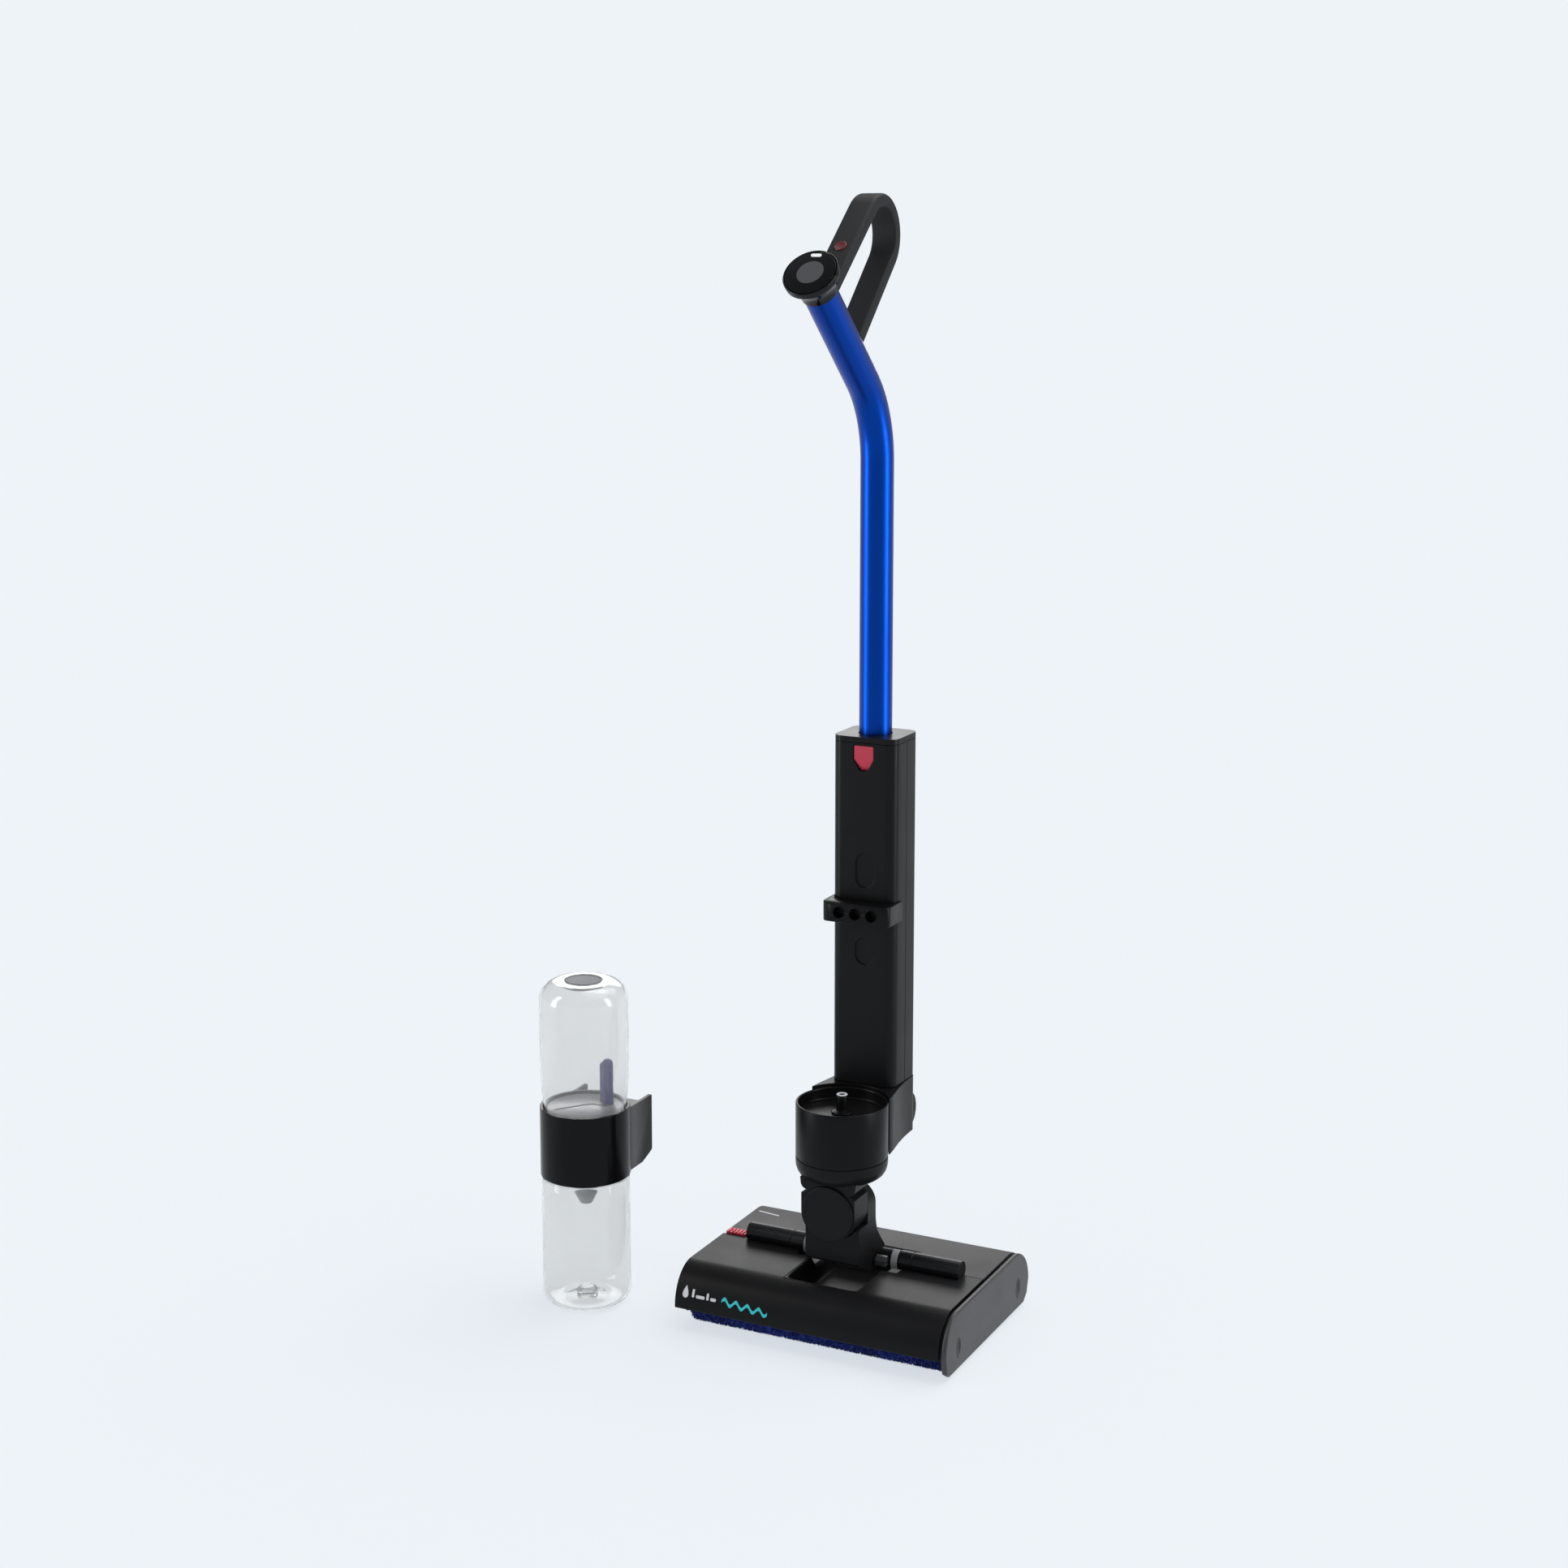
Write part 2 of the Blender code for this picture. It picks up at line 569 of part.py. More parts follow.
def tower():
    """Front and back shells, the top cap round the wand, and the wand's release latch."""
    front = tower_shell("tower_front", True)
    tower_shell("tower_rear", False)
    cut(front, prism("latch_opening", None, [latch_outline(0.0005)], "Y", 0.010, 0.024))
    prism("wand_latch", "red_plastic", [latch_outline(0)], "Y", 0.0168, 0.0215)
    hole = arc((0, TUBE_Y), (TUBE_RADIUS + GAP,) * 2, 0, 348.75, 31)
    outline = rounded_rectangle(TOWER_HALF_WIDTH, TOWER_FRONT_Y, TOWER_BACK_Y, TOWER_CORNER)
    prism("tower_top_cap", "black_plastic", [outline, hole], "Z", TOWER_TOP + GAP, CAP_TOP)
    socket = [(TUBE_RADIUS + 0.0037, TOWER_TOP), (TUBE_RADIUS + 0.0037, 0.4940),
              (0, 0.4940), (0, 0.4970), (TUBE_RADIUS + GAP, 0.4970),
              (TUBE_RADIUS + GAP, TOWER_TOP)]
    order = socket[3:] + socket[:3]
    turned("wand_socket", "grey_plastic", order, (0, TUBE_Y, 0))


def tower_contents():
    """The battery, the water pump and the control board inside the tower."""
    block("battery_pack", "grey_plastic", (-0.0285, 0.0240, 0.2600), (0.0285, 0.0680, 0.4200),
          0.004)
    rod("water_pump", "steel", (0, 0.050, 0.4280), (0, 0.050, 0.4760), 0.0140)
    block("control_board", "board_green", (-0.0260, 0.0215, 0.4260), (0.0260, 0.0231, 0.4880))


def port_bracket():
    """The shelf on the tower's face that the tank unit's saddle plugs onto."""
    gap = GAP
    size = (TOWER_CORNER + gap,) * 2
    half = TOWER_HALF_WIDTH + gap
    inner_x = TOWER_HALF_WIDTH - TOWER_CORNER
    corner_y = TOWER_FRONT_Y + TOWER_CORNER
    seat = ([(half, 0.0330)] + arc((inner_x, corner_y), size, 0, -90, 4)
            + arc((-inner_x, corner_y), size, 270, 180, 4) + [(-half, 0.0330)])
    front = (arc((-0.0310, 0.0030), (0.006, 0.006), 180, 270, 3)
             + arc((0.0310, 0.0030), (0.006, 0.006), 270, 360, 3))
    shelf = prism("port_bracket", "black_plastic",
                  [seat + [(-0.0370, 0.0330)] + front + [(0.0370, 0.0330)]], "Z", 0.4170, 0.4380)
    for name, x in (("left", -0.018), ("middle", 0.0), ("right", 0.018)):
        cut(shelf, rod(f"{name}_port", None, (x, -0.010, 0.4275), (x, 0.0, 0.4275), 0.0060, 20))
    return shelf


# ---- wand -----------------------------------------------------------------------------------
def wand_direction():
    """Unit direction of the wand's upper stretch, towards the display."""
    return Vector((0, -math.sin(BEND_ANGLE), math.cos(BEND_ANGLE)))


def bend_end():
    """Where the wand's bend ends."""
    return Vector((0, TUBE_Y - BEND_RADIUS * (1 - math.cos(BEND_ANGLE)),
                   BEND_START_Z + BEND_RADIUS * math.sin(BEND_ANGLE)))


def display_centre():
    """Centre of the display's face."""
    return bend_end() + wand_direction() * DISPLAY_REACH


def wand_route(name, look, radius, past):
    """A round bar that follows the wand: straight up, round the bend and to the display."""
    points = [Vector((0, TUBE_Y, TUBE_BOTTOM - past)), Vector((0, TUBE_Y, BEND_START_Z))]
    turns = 8
    for step in range(1, turns + 1):
        angle = BEND_ANGLE * step / turns
        points.append(Vector((0, TUBE_Y - BEND_RADIUS * (1 - math.cos(angle)),
                              BEND_START_Z + BEND_RADIUS * math.sin(angle))))
    points.append(display_centre() - wand_direction() * (0.0125 - past))
    curve = bpy.data.curves.new(name, "CURVE")
    curve.dimensions = "3D"
    curve.bevel_depth = radius
    curve.bevel_resolution = 6
    curve.use_fill_caps = True
    spline = curve.splines.new("POLY")
    spline.points.add(len(points) - 1)
    for point, place in zip(spline.points, points):
        point.co = (*place, 1)
    return meshed(name, look, bpy.data.objects.new(name + "_route", curve))


def wand_tube():
    """The hollow anodised tube: straight out of the tower, then bent towards the user."""
    tube = wand_route("wand_tube", "blue_tube", TUBE_RADIUS, 0)
    return cut(tube, wand_route("wand_tube_bore", None, TUBE_RADIUS - TUBE_WALL, 0.004))


def display():
    """The display housing on the wand's tip, its lens, and the lamp on the lens."""
    bore = TUBE_RADIUS + GAP
    rim = DISPLAY_RADIUS
    profile = [(0, -0.0030), (rim - 0.0010, -0.0030), (rim - 0.0010, -0.0003), (rim, -0.0010),
               (rim, -0.0080), (0.0245, -0.0150), (0.0190, -0.0220), (0.0185, -0.0280),
               (bore, -0.0280), (bore, -0.0120), (0, -0.0120)]
    turned("display_housing", "gloss_black", profile, display_centre(), wand_direction())
    lens = [(0, 0), (rim - 0.0018, 0), (rim - 0.0013, -0.0006), (rim - 0.0013, -0.0027),
            (0, -0.0027)]
    turned("display_lens", "gloss_black", lens, display_centre(), wand_direction())
    up = Vector((1, 0, 0)).cross(wand_direction())
    centre = display_centre() - up * 0.0205
    lamp = block("status_lamp", "white_lamp", (-0.0055, -0.0018, GAP), (0.0055, 0.0018, 0.0010))
    lamp.data.transform(Matrix.Translation(centre)
                        @ wand_direction().to_track_quat("Z", "X").to_matrix().to_4x4()
                        @ Matrix.Rotation(math.radians(90), 4, "Z"))
    return lamp


def loop_side(offset, count=14):
    """One side of the handle loop's ribbon, offset from its middle line."""
    front_normal = (-math.sin(FRONT_ARM_ANGLE), math.cos(FRONT_ARM_ANGLE))
    rear_normal = (math.sin(REAR_ARM_ANGLE), -math.cos(REAR_ARM_ANGLE))
    radius = LOOP_RADIUS + offset
    first = math.degrees(math.atan2(front_normal[1], front_normal[0]))
    last = math.degrees(math.atan2(rear_normal[1], rear_normal[0]))
    bend = arc(LOOP_CENTRE, (radius, radius), first, last, count)
    start = (bend[0][0] - ARM_LENGTH * front_normal[1], bend[0][1] + ARM_LENGTH * front_normal[0])
    end = (bend[-1][0] + ARM_LENGTH * rear_normal[1], bend[-1][1] - ARM_LENGTH * rear_normal[0])
    return [start] + bend + [end]


def handle_loop():
    """The grip: a flat ribbon that leaves the wand under the display and returns lower down."""
    half = LOOP_THICKNESS / 2
    outline = loop_side(half) + loop_side(-half)[::-1]
    loop = prism("handle_loop", "soft_grip", [outline], "X", -LOOP_WIDTH / 2, LOOP_WIDTH / 2)
    start = bend_end() - wand_direction() * 0.03
    tube = rod("loop_tube_cut", None, start, display_centre(), TUBE_RADIUS + 0.0005, 32)
    below = display_centre() - wand_direction() * 0.0285
    housing = rod("loop_housing_cut", None, below, display_centre() + wand_direction() * 0.03,
                  DISPLAY_RADIUS + 0.0005, 32)
    past = bend_end() - wand_direction() * 0.05
    up = Vector((1, 0, 0)).cross(wand_direction())
    far_side = rod("loop_far_side_cut", None, past + up * 0.0600,
                   display_centre() + wand_direction() * 0.03 + up * 0.0600, 0.0600, 32)
    pocket = rod("button_pocket", None, button_point(-0.0062), button_point(0.02), 0.0070)
    return cut(loop, tube, housing, far_side, pocket)


def button_point(height):
    """A point on the power button's axis, at a height above the front arm's face."""
    outward = Vector((0, -math.sin(FRONT_ARM_ANGLE), math.cos(FRONT_ARM_ANGLE)))
    down = Vector((0, -math.cos(FRONT_ARM_ANGLE), -math.sin(FRONT_ARM_ANGLE)))
    centre = Vector((0, *LOOP_CENTRE))
    return (centre + outward * (LOOP_RADIUS + LOOP_THICKNESS / 2 + height)
            + down * BUTTON_DOWN_ARM)


def power_button():
    """The red power button on the handle's front arm."""
    button = rod("power_button", "red_plastic", button_point(-0.0042), button_point(0.0008),
                 0.0065)
    return bevel(button, 0.0006, 1)


# ---- tank unit ------------------------------------------------------------------------------
def lower_bottle():
    """The lower clear bottle, open at the top, with a valve hole in its base."""
    wall = BOTTLE_WALL
    corner = 0.013
    radius = BOTTLE_RADIUS
    middle = (radius - corner, corner)
    inner_size = (corner - wall, corner - wall)
    inner = [(0.0080, wall)] + arc(middle, inner_size, -90, 0, 4)
    inner += [(radius - wall, 0.130), (NECK_RADIUS - wall, 0.1380), (NECK_RADIUS - wall, 0.1560)]
    outer = [(NECK_RADIUS, 0.1560), (NECK_RADIUS, 0.1376), (radius, 0.1366)]
    outer += arc(middle, (corner, corner), 0, -90, 4) + [(0.0080, 0)]
    return turned("lower_bottle", "clear_plastic", inner + outer, (TANK_X, TANK_Y, 0),
                  steps=40, closed=True)


def upper_bottle():
    """The upper clear bottle, open below, with a filler hole in its crown."""
    wall = BOTTLE_WALL
    corner = (0.0260, 0.3260)
    outer = [(0.0195, 0.3400), (0.0195, 0.3460)] + arc(corner, (0.020, 0.020), 90, 0, 6)
    outer += [(0.0460, 0.2400), (0.0450, 0.2220), (NECK_RADIUS, 0.2120), (NECK_RADIUS, 0.1930)]
    inner = [(NECK_RADIUS - wall, 0.1930), (NECK_RADIUS - wall, 0.2130),
             (0.0450 - wall, 0.2230), (0.0460 - wall, 0.2400)]
    inner += arc(corner, (0.020 - wall, 0.020 - wall), 0, 90, 6)
    inner += [(0.0217, 0.3438), (0.0217, 0.3400)]
    return turned("upper_bottle", "clear_plastic", inner + outer, (TANK_X, TANK_Y, 0),
                  steps=40, closed=True)


def tank_band():
    """The gloss black band that joins the bottles, with the saddle that hugs the tower."""
    bore = NECK_RADIUS + 0.0006
    ring = [(BAND_RADIUS, BAND_TOP), (BAND_RADIUS, BAND_BOTTOM + 0.003),
            (BAND_RADIUS - 0.001, BAND_BOTTOM), (bore, BAND_BOTTOM), (bore, BAND_TOP)]
    band = turned("tank_band", "gloss_black", ring, (TANK_X, TANK_Y, 0), steps=40, closed=True)
    for name, side in (("left", -1), ("right", 1)):
        near, far = sorted((side * SADDLE_INNER, side * SADDLE_OUTER))
        outline = [(TANK_Y + 0.0215, BAND_TOP - 0.004), (TANK_Y + 0.0215, BAND_BOTTOM + 0.001)]
        outline += arc((TANK_Y + SADDLE_REACH - 0.008, BAND_BOTTOM + 0.009), (0.008, 0.008),
                       -90, 0, 4)
        outline.append((TANK_Y + SADDLE_REACH, BAND_TOP - 0.004))
        join(band, prism(f"{name}_cheek", None, [outline], "X", TANK_X + near, TANK_X + far))
        corner = [(TANK_X + side * x, TANK_Y + y) for x, y in
                  ((0.0400, 0.0218), (0.0400, 0.0466), (0.0200, 0.0466), (0.0200, 0.0415))]
        join(band, prism(f"{name}_web", None, [corner[::side]], "Z", BAND_BOTTOM + 0.0012,
                         BAND_TOP - 0.0042))
    return band


def tank_inside():
    """Seals, the divider plate with its riser, the float valve, the base valve and the plug."""
    place = (TANK_X, TANK_Y, 0)
    radius = NECK_RADIUS
    for name, low in (("lower_seal", 0.1563), ("upper_seal", 0.1897)):
        ring = [(radius - 0.0002, low + 0.0030), (radius - 0.0002, low),
                (radius - 0.0022, low), (radius - 0.0022, low + 0.0030)]
        turned(name, "black_rubber", ring, place, steps=40, closed=True)
    plate = [(0, 0.2100), (0.0403, 0.2100), (0.0403, 0.1894), (radius - 0.0002, 0.1894),
             (radius - 0.0002, 0.1596), (radius - 0.0030, 0.1596), (radius - 0.0030, 0.1860),
             (0.0380, 0.1880), (0.0380, 0.2076), (0, 0.2076)]
    turned("lid_plate", "grey_plastic", plate, place, steps=40)
    valve = [(0, 0.2073), (0.0080, 0.2073), (0.0080, 0.1450), (0.0120, 0.1350),
             (0.0120, 0.1180), (0.0060, 0.1060), (0, 0.1060)]
    turned("float_valve", "grey_plastic", valve, place, steps=20)
    foot = Vector((TANK_X + 0.0160, TANK_Y + 0.0200, 0.2103))
    riser = rod("riser_tube", "violet_plastic", foot, foot + Vector((0, 0, 0.0474)), 0.0060)
    side = Vector((-0.0060, 0.0020, 0))
    join(riser, rod("riser_side", None, foot + side, foot + side + Vector((0, 0, 0.0434)), 0.0045))
    stem = [(0, 0.0140), (0.0070, 0.0140), (0.0110, 0.0100), (0.0110, BOTTLE_WALL + GAP),
            (0.0074, BOTTLE_WALL + GAP), (0.0074, 0.0010), (0, 0.0010)]
    turned("base_valve", "grey_plastic", stem, place, steps=24)
    plug = [(0, 0.3462), (0.0184, 0.3462), (0.0190, 0.3455), (0.0190, 0.3400), (0, 0.3400)]
    turned("top_plug", "grey_plastic", plug, place, steps=32)


# ---- assembly -------------------------------------------------------------------------------
def group_on_axis(name, place, pieces):
    """Hang the pieces of one moving body on an empty that stands on its joint's axis."""
    empty = bpy.data.objects.new(name + "_axis", None)
    empty.location = place
    empty.empty_display_size = 0.02
    PARTS.objects.link(empty)
    bpy.context.view_layer.update()
    for piece_name in pieces:
        piece = bpy.data.objects[piece_name]
        piece.parent = empty
        piece.matrix_parent_inverse = empty.matrix_world.inverted()


def build():
    head_shells()
    neck_well()
    end_plates()
    chassis()
    for name, side in (("front", -1), ("rear", 1)):
        debris_tray(name + "_debris_tray", side)
        cleaning_roller(name + "_roller", side * ROLLER_Y)
        bristle_roller(name + "_bristle_roller", side * BRISTLE_Y)
        near, far = sorted((side * 0.0386, side * 0.0415))
        block(name + "_wiper", "black_rubber", (-0.136, near, 0.0035), (0.136, far, 0.0110))
        motor_y = side * 0.026
        rod(name + "_roller_motor", "steel", (side * 0.070, motor_y, 0.0470),
            (side * 0.135, motor_y, 0.0470), 0.0120)
    hinge_bar("hinge_bar_left", -1)
    hinge_bar("hinge_bar_right", 1)
    head_release_tab()
    yoke()
    neck_pins()
    detent_clip("detent_clip_left", -1)
    detent_clip("detent_clip_right", 1)
    neck_housing()
    pivot_cap()
    tank_cup()
    cup_spigot()
    shoulder()
    rear_neck_cover()
    tower()
    tower_contents()
    port_bracket()
    wand_tube()
    display()
    handle_loop()
    power_button()
    lower_bottle()
    upper_bottle()
    tank_band()
    tank_inside()


BODIES = {
    "end_cassette": ((CAP_INNER_X, 0, 0.020),
                     ["right_end_cap", "front_debris_tray", "rear_debris_tray"]),
    "front_roller": ((0, -ROLLER_Y, ROLLER_HEIGHT), ["front_roller_core", "front_roller_sleeve"]),
    "rear_roller": ((0, ROLLER_Y, ROLLER_HEIGHT), ["rear_roller_core", "rear_roller_sleeve"]),
    "front_bristles": ((0, -BRISTLE_Y, ROLLER_HEIGHT), ["front_bristle_roller"]),
    "rear_bristles": ((0, BRISTLE_Y, ROLLER_HEIGHT), ["rear_bristle_roller"]),
    "release_tab": ((-0.1364, 0.002, 0.064), ["head_release_tab"]),
    "recline": ((0, 0, HINGE_Z), ["yoke", "hinge_pin", "swivel_pin", "detent_clip_left",
                                  "detent_clip_right"]),
    "swivel": ((0, NECK_BACK_Y, SWIVEL_Z),
               ["neck_housing", "pivot_cap", "tank_cup", "cup_spigot", "spigot_seal",
                "shoulder", "rear_neck_cover", "tower_front", "tower_rear", "tower_top_cap",
                "wand_socket", "battery_pack", "water_pump", "control_board",
                "port_bracket"]),
    "latch": ((0, TOWER_FRONT_Y, 0.585), ["wand_latch"]),
    "wand": ((0, TUBE_Y, TOWER_TOP), ["wand_tube", "display_housing", "display_lens",
                                      "status_lamp", "handle_loop"]),
    "button": (button_point(0), ["power_button"]),
    "lower_tank": ((TANK_X, TANK_Y, 0), ["lower_bottle", "base_valve"]),
    "band": ((TANK_X, TANK_Y, BAND_BOTTOM), ["tank_band", "lid_plate", "lower_seal",
                                             "upper_seal", "float_valve", "riser_tube"]),
    "upper_tank": ((TANK_X, TANK_Y, BAND_TOP), ["upper_bottle"]),
    "plug": ((TANK_X, TANK_Y, 0.3430), ["top_plug"]),
}

build()
for body_name, (axis_point, piece_names) in BODIES.items():
    group_on_axis(body_name, axis_point, piece_names)
whole_set = bpy.data.objects.new("whole_set", None)
PARTS.objects.link(whole_set)
for item in list(PARTS.objects) + list(CUTTERS.objects):
    if item.parent is None and item is not whole_set:
        item.parent = whole_set
whole_set.location = HEAD_PLACE
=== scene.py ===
import math

import bmesh
import bpy
from mathutils import Matrix, Vector


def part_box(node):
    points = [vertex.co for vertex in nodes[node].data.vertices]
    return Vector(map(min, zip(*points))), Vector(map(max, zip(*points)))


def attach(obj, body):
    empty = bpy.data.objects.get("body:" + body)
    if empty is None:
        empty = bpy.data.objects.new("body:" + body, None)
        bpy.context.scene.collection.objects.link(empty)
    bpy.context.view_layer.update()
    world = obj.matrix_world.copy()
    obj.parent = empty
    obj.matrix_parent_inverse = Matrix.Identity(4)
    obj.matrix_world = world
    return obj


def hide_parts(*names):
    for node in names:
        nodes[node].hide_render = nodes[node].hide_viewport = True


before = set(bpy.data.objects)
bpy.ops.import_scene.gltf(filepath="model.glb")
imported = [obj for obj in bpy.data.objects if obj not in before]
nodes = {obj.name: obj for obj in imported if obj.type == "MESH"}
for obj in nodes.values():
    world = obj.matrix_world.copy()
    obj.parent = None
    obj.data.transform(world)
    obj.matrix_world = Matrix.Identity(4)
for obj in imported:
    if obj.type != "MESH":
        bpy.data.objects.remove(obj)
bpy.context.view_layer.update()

# ==== The studio ==============================================================================
# A seamless pale floor under one wide, high sun, with a tall soft box each side of the camera
# that draws the long highlights on the tube. One overhead and one behind light the head's deck.
hinge_low, hinge_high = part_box("hinge_pin")
MACHINE = Vector(((hinge_low.x + hinge_high.x) / 2, (hinge_low.y + hinge_high.y) / 2, 0))
CAMERA_PLACE = MACHINE + Vector((1.0434, -2.2618, 1.0982))
CAMERA_TURN = 0.4613
CAMERA_TILT = 0.1645

camera_data = bpy.data.cameras.new("camera")
camera_data.sensor_width = 36
camera_data.lens = 58.38
camera_data.shift_y = -0.0776
camera = bpy.data.objects.new("camera", camera_data)
camera.location = CAMERA_PLACE
camera.rotation_euler = (math.pi / 2 - CAMERA_TILT, 0, CAMERA_TURN)
bpy.context.scene.collection.objects.link(camera)
bpy.context.scene.camera = camera
bpy.context.scene.view_settings.view_transform = "Standard"

bpy.ops.mesh.primitive_circle_add(vertices=96, radius=60, fill_type="NGON")
floor = bpy.context.object
floor.name = "floor"
paper = bpy.data.materials.new("floor_paper")
paper.use_nodes = True
paper_shader = paper.node_tree.nodes["Principled BSDF"]
paper_shader.inputs["Base Color"].default_value = (0.26, 0.26, 0.26, 1)
paper_shader.inputs["Roughness"].default_value = 1.0
paper_shader.inputs["Specular IOR Level"].default_value = 0.0
paper_shader.inputs["Emission Color"].default_value = (0.640, 0.680, 0.720, 1)
paper_shader.inputs["Emission Strength"].default_value = 1.0
floor.data.materials.append(paper)

world = bpy.data.worlds.new("studio_air")
world.use_nodes = True
air = world.node_tree
seen_sky = air.nodes.new("ShaderNodeBackground")
seen_sky.inputs["Color"].default_value = (0.855, 0.896, 0.939, 1)
lit_sky = air.nodes["Background"]
lit_sky.inputs["Color"].default_value = (0.93, 0.96, 1.0, 1)
lit_sky.inputs["Strength"].default_value = 0.40
ray = air.nodes.new("ShaderNodeLightPath")
choice = air.nodes.new("ShaderNodeMixShader")
air.links.new(ray.outputs["Is Camera Ray"], choice.inputs["Fac"])
air.links.new(lit_sky.outputs["Background"], choice.inputs[1])
air.links.new(seen_sky.outputs["Background"], choice.inputs[2])
air.links.new(choice.outputs["Shader"], air.nodes["World Output"].inputs["Surface"])
bpy.context.scene.world = world

sun_data = bpy.data.lights.new("sun", "SUN")
sun_data.energy = 1.6
sun_data.angle = math.radians(60)
sun = bpy.data.objects.new("sun", sun_data)
sun.rotation_euler = Vector((0.34, 0.42, 1)).to_track_quat("Z", "Y").to_euler()
bpy.context.scene.collection.objects.link(sun)


def soft_box(name, place, aim, width, height, power):
    """A rectangular area light at a place, turned towards a point."""
    data = bpy.data.lights.new(name, "AREA")
    data.shape = "RECTANGLE"
    data.size = width
    data.size_y = height
    data.energy = power
    light = bpy.data.objects.new(name, data)
    light.location = MACHINE + Vector(place)
    light.rotation_euler = (Vector(place) - Vector(aim)).to_track_quat("Z", "Y").to_euler()
    light.visible_diffuse = False
    light.visible_camera = False
    bpy.context.scene.collection.objects.link(light)


soft_box("left_soft_box", (-1.55, -1.10, 0.95), (0, 0, 0.75), 0.42, 1.9, 26)
soft_box("right_soft_box", (1.95, 0.30, 0.95), (0, 0, 0.75), 0.50, 1.9, 30)
soft_box("top_soft_box", (0.1, 0.9, 2.4), (0, 0, 0), 1.6, 0.8, 14)
soft_box("back_soft_box", (-1.2, 2.4, 1.3), (0, 0, 0.1), 2.0, 0.9, 20)


# ==== Front shell of the cleaning head ========================================================
# The black half of the head: one injection-moulded ABS skin with a rounded nose, finely
# spark-grained, screwed to the frame from below. It is open underneath for the front roller.
HEAD_LEFT, HEAD_RIGHT = -0.150, 0.1417
DECK = 0.0635
SKIN = 0.0025
SEAM_Y = 0.004
NOSE = ((-0.077, 0.024), (0.035, 0.0395))
OPENING_HALF = 0.058
SLOT_HALF = 0.041
SLOT_BACK = -0.0215
SATIN_BLACK = (0.0085, 0.0085, 0.0092)


def arc(centre, size, first, last, count):
    """Points on an ellipse between two angles in degrees."""
    angles = [math.radians(first + (last - first) * i / count) for i in range(count + 1)]
    return [(centre[0] + size[0] * math.cos(a), centre[1] + size[1] * math.sin(a)) for a in angles]


def eased(corners, count=5):
    """An outline whose corners (across, up, radius) are rounded off, each by its own radius."""
    outline = []
    for index, (across, up, radius) in enumerate(corners):
        here = Vector((across, up))
        before = Vector(corners[index - 1][:2]) - here
        after = Vector(corners[(index + 1) % len(corners)][:2]) - here
        half_angle = before.angle(after) / 2
        if radius == 0 or half_angle > 1.5:
            outline.append((across, up))
            continue
        reach = min(radius / math.tan(half_angle), 0.49 * before.length, 0.49 * after.length)
        radius = reach * math.tan(half_angle)
        middle = here + (before.normalized() + after.normalized()).normalized() * (
            radius / math.sin(half_angle))
        start = here + before.normalized() * reach - middle
        end = here + after.normalized() * reach - middle
        first = math.atan2(start.y, start.x)
        sweep = (math.atan2(end.y, end.x) - first + math.pi) % (2 * math.pi) - math.pi
        for step in range(count + 1):
            angle = first + sweep * step / count
            outline.append((middle.x + radius * math.cos(angle), middle.y + radius * math.sin(angle)))
    return outline


def drawn(name, form):
    """An object in the scene that holds a finished bmesh."""
    mesh = bpy.data.meshes.new(name)
    form.to_mesh(mesh)
    form.free()
    piece = bpy.data.objects.new(name, mesh)
    bpy.context.scene.collection.objects.link(piece)
    return piece


SLAB_AXES = {"X": Matrix(((0, 0, 1), (1, 0, 0), (0, 1, 0))),
             "Y": Matrix(((1, 0, 0), (0, 0, -1), (0, 1, 0))),
             "Z": Matrix.Identity(3)}


def slab(name, outlines, axis, start, end):
    """An outline, with any holes, stretched along a world axis: (y, z), (x, z) or (x, y) points."""
    curve = bpy.data.curves.new(name, "CURVE")
    curve.dimensions = "2D"
    curve.fill_mode = "BOTH"
    curve.extrude = (end - start) / 2
    for outline in outlines:
        spline = curve.splines.new("POLY")
        spline.points.add(len(outline) - 1)
        for point, (across, up) in zip(spline.points, outline):
            point.co = (across, up, 0, 1)
        spline.use_cyclic_u = True
    guide = bpy.data.objects.new(name + "_guide", curve)
    bpy.context.scene.collection.objects.link(guide)
    bpy.context.view_layer.update()
    filled = bpy.data.meshes.new_from_object(guide.evaluated_get(bpy.context.evaluated_depsgraph_get()))
    bpy.data.objects.remove(guide)
    form = bmesh.new()
    form.from_mesh(filled)
    middle = Vector([(start + end) / 2 if axis == letter else 0 for letter in "XYZ"])
    turn = Matrix.Translation(middle) @ SLAB_AXES[axis].to_4x4()
    bmesh.ops.transform(form, matrix=turn, verts=form.verts)
    bmesh.ops.remove_doubles(form, verts=form.verts, dist=0.00002)
    bmesh.ops.dissolve_limit(form, angle_limit=0.002, verts=form.verts, edges=form.edges)
    bmesh.ops.recalc_face_normals(form, faces=form.faces)
    return drawn(name, form)


def settled(piece, place=(0, 0, 0)):
    """The piece with its modifiers made real, and its place put into its mesh."""
    bpy.context.view_layer.update()
    seen = piece.evaluated_get(bpy.context.evaluated_depsgraph_get())
    mesh = bpy.data.meshes.new_from_object(seen)
    mesh.transform(Matrix.Translation(place) @ piece.matrix_world)
    piece.modifiers.clear()
    piece.data = mesh
    piece.matrix_world = Matrix.Identity(4)
    return piece


def carved(piece, *tools, operation="DIFFERENCE"):
    """The piece after each tool has been cut out of it, or joined to it; the tools are used up."""
    for tool in tools:
        change = piece.modifiers.new(tool.name, "BOOLEAN")
        change.operation = operation
        change.solver = "EXACT"
        change.object = tool
        settled(piece)
        bpy.data.objects.remove(tool)
    return piece


